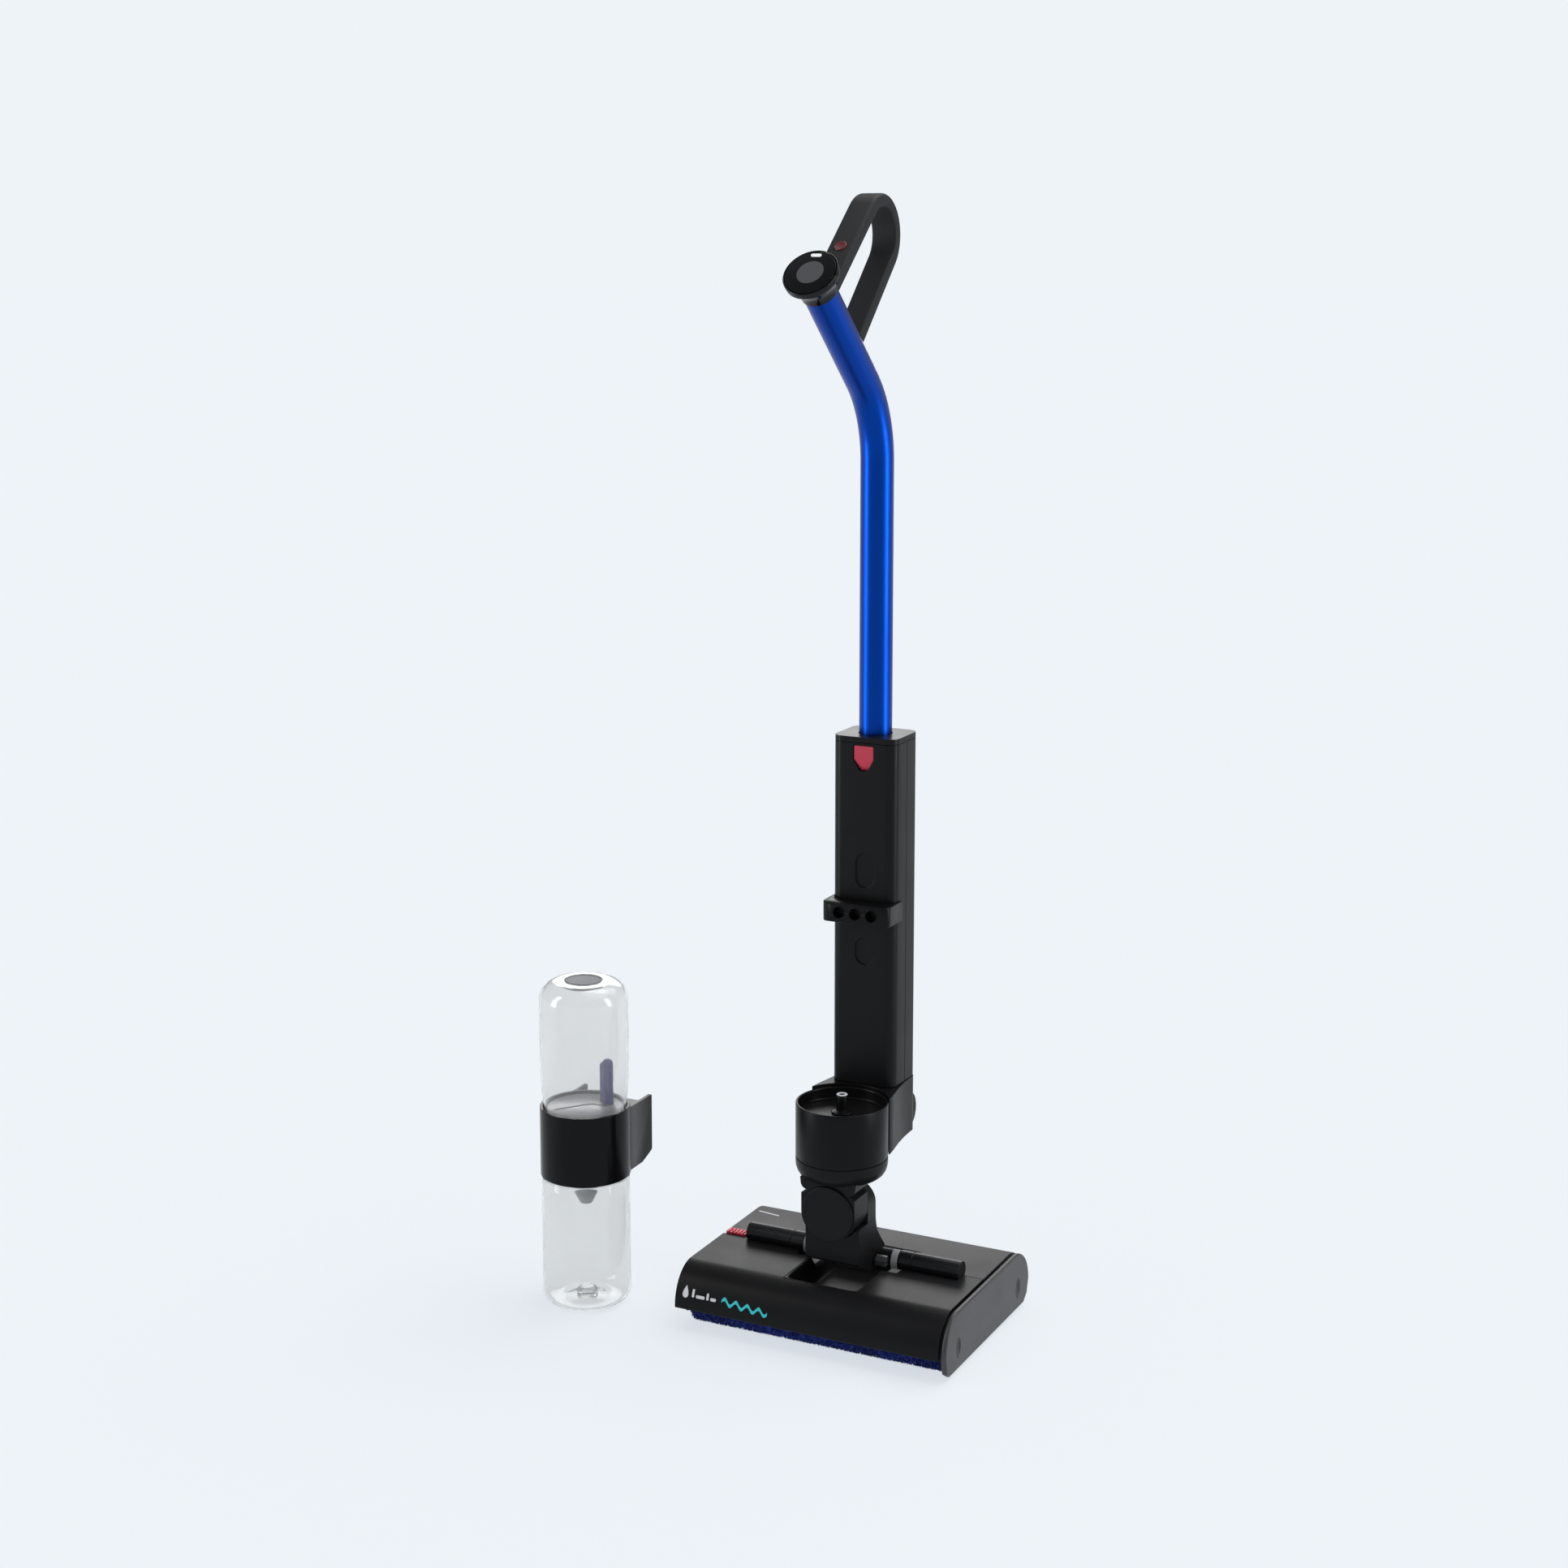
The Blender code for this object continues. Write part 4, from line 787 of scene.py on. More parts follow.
def bar_tool(name, start, end, radius, steps=64):
    """A plain round bar between two points, for cutting or joining."""
    start, end = Vector(start), Vector(end)
    form = bmesh.new()
    bmesh.ops.create_cone(form, cap_ends=True, segments=steps, radius1=radius, radius2=radius,
                          depth=(end - start).length)
    turn = (end - start).to_track_quat("Z", "Y").to_matrix().to_4x4()
    bmesh.ops.transform(form, matrix=Matrix.Translation((start + end) / 2) @ turn, verts=form.verts)
    return drawn(name, form)


yoke_side = eased([(-0.0538, 0.0772, 0.003), (-0.0538, 0.1153, 0.002), (-0.0127, 0.1153, 0.001),
                   (-0.0087, 0.1010, 0.010), (0.0010, 0.0890, 0.008), (0.0100, 0.0790, 0.006),
                   (0.0143, 0.0700, 0.006), (0.0060, 0.0560, 0.006), (-0.0090, 0.0570, 0.008)], 6)
yoke = slab("yoke_casting", [yoke_side], "X", -0.0298, 0.0298)
column = slab("yoke_column", [[(-0.0296, 0.100), (0.0296, 0.100)]
                              + arc((0, SWIVEL_Z), (0.0296, 0.0240), 0, 180, 48)],
              "Y", -0.0316, -0.0122)
carved(yoke, bar_tool("barrel", (-0.0536, 0, HINGE_Z), (0.0536, 0, HINGE_Z), 0.0099), column,
       operation="UNION")
carved(yoke, bar_tool("seat", (0, -0.075, SWIVEL_Z), (0, -0.0317, SWIVEL_Z), NECK_HALF + 0.0012, 96),
       bar_tool("pin_bore", (-0.060, 0, HINGE_Z), (0.060, 0, HINGE_Z), 0.0028, 32))
rounded(yoke, 0.0010, 3, 38)
yoke.data.materials.append(black_satin)
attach(yoke, "yoke")
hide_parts("yoke")

clip_grey = moulded("clip_grey", (0.050, 0.050, 0.053), 0.35, 1600, 0.00002, 0.3)
collar_pale = moulded("collar_pale", (0.30, 0.30, 0.31), 0.35, 1600, 0.00002, 0.5)
for side_name, side in (("left", -1), ("right", 1)):
    low, high = sorted((side * 0.0317, side * 0.0433))
    clip_side = eased([(-0.0188, 0.0662, 0.001), (-0.0188, 0.0720, 0.002), (-0.0150, 0.0758, 0.002),
                       (-0.0107, 0.0758, 0.001), (-0.0107, 0.0662, 0.001)])
    clip = slab(f"detent_spring_{side_name}", [clip_side], "X", low, high)
    carved(clip, slab("clip_slot", [[(-0.0178, 0.0685), (-0.0178, 0.0705), (-0.0125, 0.0705),
                                     (-0.0125, 0.0685)]], "X", low - 0.001, high + 0.001))
    rounded(clip, 0.0005, 2, 40)
    clip.data.materials.append(clip_grey)
    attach(clip, "yoke")
    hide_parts("detent_clip_" + side_name)
    low, high = sorted((side * 0.0460, side * 0.0528))
    wrap = slab(f"barrel_collar_{side_name}", [arc((0, HINGE_Z), (0.0120, 0.0120), 100, 212, 20)
                                               + arc((0, HINGE_Z), (0.0102, 0.0102), 212, 100, 20)],
                "X", low, high)
    rounded(wrap, 0.0004, 2, 40)
    wrap.data.materials.append(collar_pale)
    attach(wrap, "yoke")


# ==== Neck block, collar and pivot cap ========================================================
# The neck swings from side to side on the swivel pin. Its front is closed by a round cap, and
# its collar flares out to carry the cup.
CUP_Y = -0.031
neck_front = arc((0, SWIVEL_Z), (NECK_HALF,) * 2, 180, 360, 48) + [
    (NECK_HALF, 0.1500)] + eased([(NECK_HALF, 0.1540, 0.010), (0.0310, 0.1670, 0.001),
                                  (-0.0310, 0.1670, 0.001), (-NECK_HALF, 0.1540, 0.010)], 5)
neck_front.append((-NECK_HALF, 0.1500))
neck = slab("neck_block", [neck_front], "Y", -0.064, -0.0325)
collar = ringed("neck_collar", [(0, 0.1830), (0.0470, 0.1830), (0.0470, 0.1780), (0.0466, 0.1742),
                                (0.0454, 0.1704), (0.0432, 0.1668), (0.0400, 0.1642),
                                (0.0370, 0.1632), (0, 0.1632)], steps=96)
collar.matrix_world = Matrix.Translation((0, CUP_Y, 0))
carved(neck, settled(collar), operation="UNION")
carved(neck, bar_tool("swivel_bore", (0, -0.0615, SWIVEL_Z), (0, -0.0200, SWIVEL_Z), 0.0064))
rounded(neck, 0.0009, 3, 38)
neck.data.materials.append(black_satin)
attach(neck, "neck")
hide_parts("neck_housing")

cap_profile = ([(0, 0.0024), (0.0262, 0.0024)] + arc((0.0275, 0.0014), (0.0010, 0.0010), 90, 0, 5)
               + [(0.0285, 0.0), (0, 0.0)])
pivot = ringed("pivot_cover", cap_profile, steps=96)
pivot.matrix_world = (Matrix.Translation(MACHINE + Vector((0, -0.0643, SWIVEL_Z)))
                      @ Matrix.Rotation(math.pi / 2, 4, "X"))
settled(pivot)
pivot.data.materials.append(black_satin)
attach(pivot, "neck")
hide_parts("pivot_cap")


# ==== Cup, spigot and seal ====================================================================
# The tank unit stands in this open cup, satin all over, and the valve
# stem in the middle carries a pale silicone ring.
cup_grey = moulded("cup_black", (0.0055, 0.0055, 0.006), 0.33, 2000, 0.00002, 0.10)
cup_profile = ([(0.0075, 0.2280), (0.0425, 0.2280)] + arc((0.0425, 0.2298), (0.0018, 0.0018), -90, 0, 4)
               + [(0.0443, 0.2388)] + arc((0.0455, 0.2388), (0.0012, 0.0012), 180, 90, 3)
               + arc((0.0460, 0.2390), (0.0010, 0.0010), 90, 0, 3)
               + [(0.0470, 0.1850), (0.0464, 0.1834), (0.0443, 0.1834), (0.0443, 0.2253), (0.0075, 0.2253)])
cup = ringed("cup_moulding", cup_profile, closed=True, steps=128)
cup.matrix_world = Matrix.Translation(MACHINE + Vector((0, CUP_Y, 0)))
settled(cup)
cup.data.materials.append(cup_grey)
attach(cup, "neck")
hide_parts("tank_cup")

stem_profile = ([(0, 0.2456), (0.0020, 0.2456), (0.0030, 0.2460)]
                + arc((0.0042, 0.2448), (0.0012, 0.0012), 90, 0, 4)
                + [(0.0054, 0.2330), (0.0060, 0.2312), (0.0085, 0.2304), (0.0104, 0.2300), (0.0109, 0.2294),
                   (0.0109, 0.2284), (0.0069, 0.2284), (0.0069, 0.2151), (0, 0.2151)])
stem = ringed("valve_stem", stem_profile, steps=64)
stem.matrix_world = Matrix.Translation(MACHINE + Vector((0, CUP_Y, 0)))
settled(stem)
stem.data.materials.append(cup_grey)
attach(stem, "neck")
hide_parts("cup_spigot")

silicone = moulded("pale_silicone", (0.78, 0.79, 0.80), 0.5, 900, 0.00002, 0.4, 1.05)
ring = ringed("stem_ring", [(0.0043 + 0.0013 * math.cos(a), 0.2472 + 0.0008 * math.sin(a))
                            for a in [math.pi / 2 - 2 * math.pi * k / 20 for k in range(20)]], closed=True)
ring.matrix_world = Matrix.Translation(MACHINE + Vector((0, CUP_Y, 0)))
settled(ring)
ring.data.materials.append(silicone)
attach(ring, "neck")
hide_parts("spigot_seal")


# ==== Shoulder and rear cover of the neck =====================================================
# The block that joins the cup to the tower. Its sides draw in from the cup's width to the
# tower's, and a rounded cover closes the wiring duct at the back.
CUP_SEAT = 0.0475
seat_angle = math.degrees(math.acos(0.0432 / CUP_SEAT))
shoulder_side = [(0.0438, -0.0095), (0.0420, 0.0040), (0.0385, 0.0240), (0.0362, 0.0440),
                 (0.0354, 0.0600)]
shoulder_outline = (shoulder_side
                    + arc((0.0249, 0.0653), (0.0105, 0.0105), 0, 90, 10)
                    + arc((-0.0249, 0.0653), (0.0105, 0.0105), 90, 180, 10)
                    + [(-x, y) for x, y in shoulder_side[::-1]]
                    + arc((0, CUP_Y), (CUP_SEAT,) * 2, 180 - seat_angle, seat_angle, 48))
shoulder = slab("shoulder_moulding", [shoulder_outline], "Z", 0.1835, 0.2429)
rounded(shoulder, 0.0012, 3, 38)
shoulder.data.materials.append(black_satin)
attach(shoulder, "neck")
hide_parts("shoulder")

cover_side = [(0.0762, 0.2218), (0.0762, 0.1852)] + arc((0.0800, 0.2000), (0.0173, 0.0190), -90, 75, 24)
rear_bulge = slab("duct_cover", [cover_side], "X", -0.0268, 0.0268)
rounded(rear_bulge, 0.0032, 5, 40)
rear_bulge.data.materials.append(black_satin)
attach(rear_bulge, "neck")
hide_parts("rear_neck_cover")


# ==== Tower ===================================================================================
# Two long half shells round the battery, clipped together down the sides, with a cap that guides
# the wand. The front has two shallow oblong recesses and the opening for the release latch.
TOWER_HALF = 0.035
TOWER_CORNER = 0.011
TOWER_LOW, TOWER_HIGH = 0.2433, 0.600
TOWER_FRONT, TOWER_BACK = 0.016, 0.076
TOWER_SPLIT = 0.046


def tower_half(name, face, side):
    """One hollow half of the tower, from its split line round its face and back."""
    def section(half_width, front, corner):
        centre_y = front + side * corner
        centre_x = half_width - corner
        left = [(-x, y) for x, y in arc((centre_x, centre_y), (corner, side * corner), 0, -90, 14)]
        right = arc((centre_x, centre_y), (corner, side * corner), -90, 0, 14)
        split = TOWER_SPLIT - side * 0.0002
        return [(-half_width, split)] + left + right + [(half_width, split)]
    outer = section(TOWER_HALF, face, TOWER_CORNER)
    inner = section(TOWER_HALF - 0.0025, face + side * 0.0025, TOWER_CORNER - 0.0025)
    return slab(name, [outer + inner[::-1]], "Z", TOWER_LOW, TOWER_HIGH)


def latch_shape(grow):
    """The pointed release latch, seen from the front, in (x, z)."""
    half = 0.0105 + grow
    return eased([(-half, 0.5970 + grow, 0.0010), (-half, 0.5830, 0.0015), (-0.0040, 0.5720 - grow, 0.0020),
                  (0.0040, 0.5720 - grow, 0.0020), (half, 0.5830, 0.0015), (half, 0.5970 + grow, 0.0010)], 4)


def oblong(name, low, high, depth):
    """A tool for a shallow recess with round ends in the tower's front face."""
    half = 0.0100
    outline = (arc((0.0020, low + half), (half, half), 180, 360, 20)
               + arc((0.0020, high - half), (half, half), 0, 180, 20))
    return slab(name, [outline], "Y", TOWER_FRONT - 0.002, TOWER_FRONT + depth)


tower_front = tower_half("tower_front_shell", TOWER_FRONT, 1)
carved(tower_front, slab("latch_window", [latch_shape(0.0006)], "Y", 0.010, 0.024),
       oblong("upper_recess", 0.4510, 0.4865, 0.0018), oblong("lower_recess", 0.3705, 0.3985, 0.0018))
rounded(tower_front, 0.0006, 3, 38)
tower_front.data.materials.append(black_satin)
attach(tower_front, "neck")
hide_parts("tower_front")

tower_rear = tower_half("tower_rear_shell", TOWER_BACK, -1)
for number in range(9):
    slot_z = 0.300 + 0.007 * number
    carved(tower_rear, slab(f"vent_{number}", [eased([(-0.018, slot_z, 0.0012), (0.018, slot_z, 0.0012),
                                                      (0.018, slot_z + 0.0026, 0.0012),
                                                      (-0.018, slot_z + 0.0026, 0.0012)], 4)],
                            "Y", TOWER_BACK - 0.0012, TOWER_BACK + 0.002))
rounded(tower_rear, 0.0006, 3, 38)
tower_rear.data.materials.append(black_satin)
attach(tower_rear, "neck")
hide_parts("tower_rear")

TUBE_Y = 0.046
TUBE_RADIUS = 0.0168
half_x, inner_y = TOWER_HALF - TOWER_CORNER, TOWER_CORNER
cap_outline = (arc((half_x, TOWER_FRONT + inner_y), (TOWER_CORNER,) * 2, -90, 0, 14)
               + arc((half_x, TOWER_BACK - inner_y), (TOWER_CORNER,) * 2, 0, 90, 14)
               + arc((-half_x, TOWER_BACK - inner_y), (TOWER_CORNER,) * 2, 90, 180, 14)
               + arc((-half_x, TOWER_FRONT + inner_y), (TOWER_CORNER,) * 2, 180, 270, 14))
wand_hole = arc((0, TUBE_Y), (TUBE_RADIUS + 0.0007,) * 2, 0, 354.375, 63)
tower_cap = slab("tower_cap", [cap_outline, wand_hole], "Z", TOWER_HIGH + 0.0003, 0.606)
rounded(tower_cap, 0.0014, 4, 38)
tower_cap.data.materials.append(black_satin)
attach(tower_cap, "neck")
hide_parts("tower_top_cap")


# ==== Wand release latch ======================================================================
# A red acetal push latch with a pointed lower end. Its face slopes in towards the point.
latch = slab("release_latch", [latch_shape(0)], "Y", 0.0170, 0.0215)
slope = slab("latch_slope", [[(0.0150, 0.5690), (0.0205, 0.5690), (0.0168, 0.5840), (0.0150, 0.5840)]],
             "X", -0.02, 0.02)
carved(latch, slope)
rounded(latch, 0.0006, 3, 38)
latch.data.materials.append(red_plastic)
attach(latch, "wand_latch")
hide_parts("wand_latch")


# ==== Port bracket ============================================================================
# A nylon shelf screwed across the tower's face. The tank unit's saddle plugs onto its three
# round ports, which have raised rims.
PORT_Z = 0.4275
seat_corner = (TOWER_CORNER + 0.0003,) * 2
port_seat = ([(0.0353, 0.0328)] + arc((half_x, TOWER_FRONT + inner_y), seat_corner, 0, -90, 12)
             + arc((-half_x, TOWER_FRONT + inner_y), seat_corner, 270, 180, 12)
             + [(-0.0353, 0.0328)])
port_front = (arc((-0.0310, 0.0030), (0.006, 0.006), 180, 270, 8)
              + arc((0.0310, 0.0030), (0.006, 0.006), 270, 360, 8))
bracket = slab("port_shelf", [port_seat + [(-0.0370, 0.0328)] + port_front + [(0.0370, 0.0328)]],
               "Z", 0.4171, 0.4379)
rounded(bracket, 0.0012, 3, 38)
for x in (-0.018, 0.0, 0.018):
    port = Vector((x, 0, PORT_Z)) + MACHINE
    collar = ringed(f"port_rim_{x}", [(0.0060, 0.0), (0.0074, 0.0), (0.0072, 0.0007), (0.0066, 0.0010),
                                      (0.0061, 0.0008)], closed=True)
    collar.matrix_world = (Matrix.Translation(port + Vector((0, -0.0026, 0)))
                           @ Matrix.Rotation(math.pi / 2, 4, "X"))
    settled(collar)
    carved(bracket, bar_tool("port_bore", port + Vector((0, -0.010, 0)),
                             port + Vector((0, 0.0060, 0)), 0.0060), operation="DIFFERENCE")
    carved(bracket, collar, operation="UNION")
bracket.data.shade_smooth()
bracket.data.set_sharp_from_angle(angle=math.radians(38))
bracket.data.materials.append(cup_grey)
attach(bracket, "neck")
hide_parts("port_bracket")


# ==== Wand tube ===============================================================================
# A drawn aluminium tube, bent once towards the user and anodised blue. Drawing leaves fine lines
# along it, and the anodising varies slightly in tone.
BEND_START = 0.880
BEND_RADIUS = 0.112
BEND_ANGLE = math.radians(48)
DISPLAY_REACH = 0.158
UP_WAND = Vector((0, -math.sin(BEND_ANGLE), math.cos(BEND_ANGLE)))
BEND_END = Vector((0, TUBE_Y - BEND_RADIUS * (1 - math.cos(BEND_ANGLE)),
                   BEND_START + BEND_RADIUS * math.sin(BEND_ANGLE)))
DISPLAY = BEND_END + UP_WAND * DISPLAY_REACH
ANODISED = (0.002, 0.036, 0.270)


def swept(name, stations, section, capped=True):
    """A section (across, out) carried along stations (point, outward direction) in the YZ plane."""
    form = bmesh.new()
    rings = [[form.verts.new(point + Vector((across, 0, 0)) + outward * out) for across, out in section]
             for point, outward in stations]
    count = len(section)
    for first, second in zip(rings, rings[1:]):
        for k in range(count):
            form.faces.new((first[k], first[(k + 1) % count], second[(k + 1) % count], second[k]))
    if capped:
        form.faces.new(rings[0][::-1])
        form.faces.new(rings[-1])
    bmesh.ops.recalc_face_normals(form, faces=form.faces)
    piece = drawn(name, form)
    piece.data.shade_smooth()
    return piece


def anodised():
    """Blue anodised aluminium with fine drawing lines along the tube."""
    material = bpy.data.materials.new("blue_anodised")
    material.use_nodes = True
    tree = material.node_tree
    shader = tree.nodes["Principled BSDF"]
    place = tree.nodes.new("ShaderNodeTexCoord")
    stretch = tree.nodes.new("ShaderNodeMapping")
    stretch.inputs["Scale"].default_value = (900, 900, 9)
    tree.links.new(place.outputs["Object"], stretch.inputs["Vector"])
    lines = tree.nodes.new("ShaderNodeTexNoise")
    lines.inputs["Scale"].default_value = 1.0
    lines.inputs["Detail"].default_value = 4
    tree.links.new(stretch.outputs["Vector"], lines.inputs["Vector"])
    surface = placed_group(tree, MOULD_GRAIN, Grain_Scale=2400, Patch_Scale=9)
    colour = mixed_colour(tree, surface.outputs["Patches"], ANODISED, (0.003, 0.044, 0.310))
    tree.links.new(colour, shader.inputs["Base Color"])
    tree.links.new(spread(tree, lines.outputs["Fac"], 0.30, 0.40), shader.inputs["Roughness"])
    shader.inputs["Metallic"].default_value = 1.0
    bump = tree.nodes.new("ShaderNodeBump")
    bump.inputs["Strength"].default_value = 0.25
    bump.inputs["Distance"].default_value = 0.00002
    tree.links.new(lines.outputs["Fac"], bump.inputs["Height"])
    tree.links.new(bump.outputs["Normal"], shader.inputs["Normal"])
    return material


tube_stations = [(Vector((0, TUBE_Y, 0.4985)), Vector((0, -1, 0))),
                 (Vector((0, TUBE_Y, 0.700)), Vector((0, -1, 0)))]
for step in range(33):
    angle = BEND_ANGLE * step / 32
    tube_stations.append((Vector((0, TUBE_Y - BEND_RADIUS * (1 - math.cos(angle)),
                                  BEND_START + BEND_RADIUS * math.sin(angle))),
                          Vector((0, -math.cos(angle), -math.sin(angle)))))
tube_stations.append((DISPLAY - UP_WAND * 0.0130, tube_stations[-1][1]))
tube_section = arc((0, 0), (TUBE_RADIUS,) * 2, 0, 357.1875, 127)
tube = swept("anodised_tube", tube_stations, tube_section)
settled(tube, MACHINE)
tube.data.set_sharp_from_angle(angle=math.radians(40))
blue_anodised = anodised()
tube.data.materials.append(blue_anodised)
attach(tube, "wand")
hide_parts("wand_tube")


# ==== Display =================================================================================
# A round gloss housing pressed onto the wand's tip. Its black lens covers a small grey screen,
# and a white pill-shaped mark sits above that, given a faint painted glow by emission.
UP_FACE = Vector((1, 0, 0)).cross(UP_WAND)
FACE_TURN = Matrix((Vector((1, 0, 0)), -UP_FACE, UP_WAND)).transposed().to_4x4()


def on_display(piece):
    """The piece, drawn about +Z with +Y up the face, put on the display and settled."""
    piece.matrix_world = Matrix.Translation(MACHINE + DISPLAY) @ FACE_TURN
    return settled(piece)


gloss_black = moulded("gloss_black", (0.003, 0.003, 0.0035), 0.13, 900, 0.000004, 0.18, 1.5, 0.04)
rim = ([(0, -0.0031), (0.0258, -0.0031), (0.0262, -0.0012)]
       + arc((0.0268, -0.0012), (0.0007, 0.0007), 160, 0, 6)
       + [(0.0275, -0.0060)] + arc((0.0255, -0.0060), (0.0020, 0.0020), 0, -40, 5)
       + [(0.0235, -0.0110), (0.0205, -0.0150), (0.0190, -0.0190), (0.0186, -0.0230), (0.0185, -0.0272),
          (0.0179, -0.0279), (0.0172, -0.0279), (0.0171, -0.0121), (0, -0.0121)])
display = on_display(ringed("display_shell", rim, steps=128))
display.data.materials.append(gloss_black)
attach(display, "wand")
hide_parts("display_housing")

lens = on_display(ringed("display_glass", [(0, -0.0002), (0.0245, -0.0002), (0.0253, -0.0005),
                                           (0.0256, -0.0011), (0.0256, -0.0028), (0, -0.0028)],
                         steps=128))
lens.data.materials.append(gloss_black)
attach(lens, "wand")
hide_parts("display_lens")

screen_look = moulded("screen_grey", (0.085, 0.087, 0.090), 0.22, 5200, 0.00001, 0.5, 1.1, 0.2)
screen = on_display(ringed("screen", [(0, -0.00008), (0.0132, -0.00008), (0.0134, -0.0001), (0.0134, -0.0004),
                                      (0, -0.0004)], steps=96))
screen.data.materials.append(screen_look)
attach(screen, "wand")

pill_painted_glow_look = moulded("lamp_white", (0.82, 0.83, 0.85), 0.3, 1200, 0.00001, 0.5, 1.0)
pill_glow_shader = pill_painted_glow_look.node_tree.nodes["Principled BSDF"]
# The white pill is no lamp: this faint emission is a painted glow that makes the mark shine.
pill_glow_shader.inputs["Emission Color"].default_value = (0.95, 0.97, 1.0, 1)
pill_glow_shader.inputs["Emission Strength"].default_value = 0.35
pill_shape = eased([(-0.0054, 0.0188, 0.0017), (0.0054, 0.0188, 0.0017), (0.0054, 0.0222, 0.0017),
                    (-0.0054, 0.0222, 0.0017)], 8)
lamp = on_display(slab("lamp", [pill_shape], "Z", -0.0001, 0.0006))
lamp.data.materials.append(pill_painted_glow_look)
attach(lamp, "wand")
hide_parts("status_lamp")


# ==== Handle loop and power button ============================================================
# A closed loop moulded over a nylon core in a coarse-grained soft skin. It leaves the wand under
# the display and returns lower down; the red power button is set in its front arm.
LOOP_CENTRE = Vector((0, 0.031, 1.103))
LOOP_RADIUS = 0.034
LOOP_HALF_THICK = 0.0065
LOOP_HALF_WIDE = 0.0135
FRONT_ARM = math.radians(41)
REAR_ARM = math.radians(45)
ARM_LENGTH = 0.118
BUTTON_DOWN = 0.062


def loop_stations():
    """The loop's middle line from the foot of its front arm to the foot of its rear arm."""
    first = math.atan2(math.cos(FRONT_ARM), -math.sin(FRONT_ARM))
    last = math.atan2(-math.cos(REAR_ARM), math.sin(REAR_ARM))
    bend = []
    for step in range(41):
        angle = first + (last - first) * step / 40
        outward = Vector((0, math.cos(angle), math.sin(angle)))
        bend.append((LOOP_CENTRE + outward * LOOP_RADIUS, outward))
    down_front = Vector((0, -math.cos(FRONT_ARM), -math.sin(FRONT_ARM)))
    down_rear = Vector((0, -math.cos(REAR_ARM), -math.sin(REAR_ARM)))
    front = [(bend[0][0] + down_front * ARM_LENGTH * k / 6, bend[0][1]) for k in range(6, 0, -1)]
    rear = [(bend[-1][0] + down_rear * ARM_LENGTH * k / 6, bend[-1][1]) for k in range(1, 7)]
    return front + bend + rear


grip_skin = moulded("grip_skin", (0.017, 0.017, 0.018), 0.62, 1300, 0.00012, 0.18, 1.6)
loop_section = eased([(-LOOP_HALF_WIDE, -LOOP_HALF_THICK, 0.0030),
                      (LOOP_HALF_WIDE, -LOOP_HALF_THICK, 0.0030),
                      (LOOP_HALF_WIDE, LOOP_HALF_THICK, 0.0042),
                      (-LOOP_HALF_WIDE, LOOP_HALF_THICK, 0.0042)], 8)
loop = swept("grip_loop", loop_stations(), loop_section)
tube_cut = bar_tool("tube_cut", BEND_END - UP_WAND * 0.03, DISPLAY, TUBE_RADIUS + 0.0003, 96)
housing_cut = bar_tool("housing_cut", DISPLAY - UP_WAND * 0.0285, DISPLAY + UP_WAND * 0.03, 0.0278, 96)
past = BEND_END - UP_WAND * 0.05
far_cut = bar_tool("far_cut", past + UP_FACE * 0.0600,
                   DISPLAY + UP_WAND * 0.03 + UP_FACE * 0.0600, 0.0600, 96)
front_outward = Vector((0, -math.sin(FRONT_ARM), math.cos(FRONT_ARM)))
button_foot = (LOOP_CENTRE + front_outward * (LOOP_RADIUS + LOOP_HALF_THICK)
               + Vector((0, -math.cos(FRONT_ARM), -math.sin(FRONT_ARM))) * BUTTON_DOWN)
pocket = bar_tool("button_pocket", button_foot - front_outward * 0.0062,
                  button_foot + front_outward * 0.02, 0.0070)
carved(loop, tube_cut, housing_cut, far_cut, pocket)
rounded(loop, 0.0005, 2, 45)
loop.data.materials.append(grip_skin)
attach(loop, "wand")
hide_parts("handle_loop")

button_red = moulded("button_red", (0.13, 0.004, 0.010), 0.34, 1600, 0.00001, 0.5, 1.3)
button = ringed("push_button", [(0, 0.0003), (0.0030, 0.0004), (0.0052, 0.0007)]
                + arc((0.0058, 0.0001), (0.0007, 0.0007), 90, 0, 4)
                + [(0.0065, -0.0040), (0, -0.0040)], steps=64)
button.matrix_world = (Matrix.Translation(MACHINE + button_foot)
                       @ front_outward.to_track_quat("Z", "Y").to_matrix().to_4x4())
settled(button)
button.data.materials.append(button_red)
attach(button, "power_button")
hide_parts("power_button")


# ==== Bottles of the tank unit ================================================================
# Two blow-moulded clear copolyester bottles, one for clean water and one for dirty. Each wall is
# about two millimetres thick, with soft shoulders and a slight waist above the band.
plug_low, plug_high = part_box("top_plug")
TANK = Vector(((plug_low.x + plug_high.x) / 2, (plug_low.y + plug_high.y) / 2, 0))


def clear_wall():
    """Clear plastic with faint flow marks left by blow moulding."""
    material = bpy.data.materials.new("clear_wall")
    material.use_nodes = True
    tree = material.node_tree
    shader = tree.nodes["Principled BSDF"]
    surface = placed_group(tree, MOULD_GRAIN, Grain_Scale=35, Patch_Scale=60)
    colour = mixed_colour(tree, surface.outputs["Patches"], (0.925, 0.925, 0.920), (0.955, 0.955, 0.950))
    tree.links.new(colour, shader.inputs["Base Color"])
    tree.links.new(spread(tree, surface.outputs["Patches"], 0.02, 0.10), shader.inputs["Roughness"])
    shader.inputs["IOR"].default_value = 1.30
    shader.inputs["Transmission Weight"].default_value = 0.92
    bump = tree.nodes.new("ShaderNodeBump")
    bump.inputs["Strength"].default_value = 0.3
    bump.inputs["Distance"].default_value = 0.0006
    tree.links.new(surface.outputs["Height"], bump.inputs["Height"])
    tree.links.new(bump.outputs["Normal"], shader.inputs["Normal"])
    return material


clear = clear_wall()


def on_tank(piece):
    """The piece, drawn about the tank unit's own middle line, put there and settled."""
    piece.matrix_world = Matrix.Translation(TANK)
    return settled(piece)


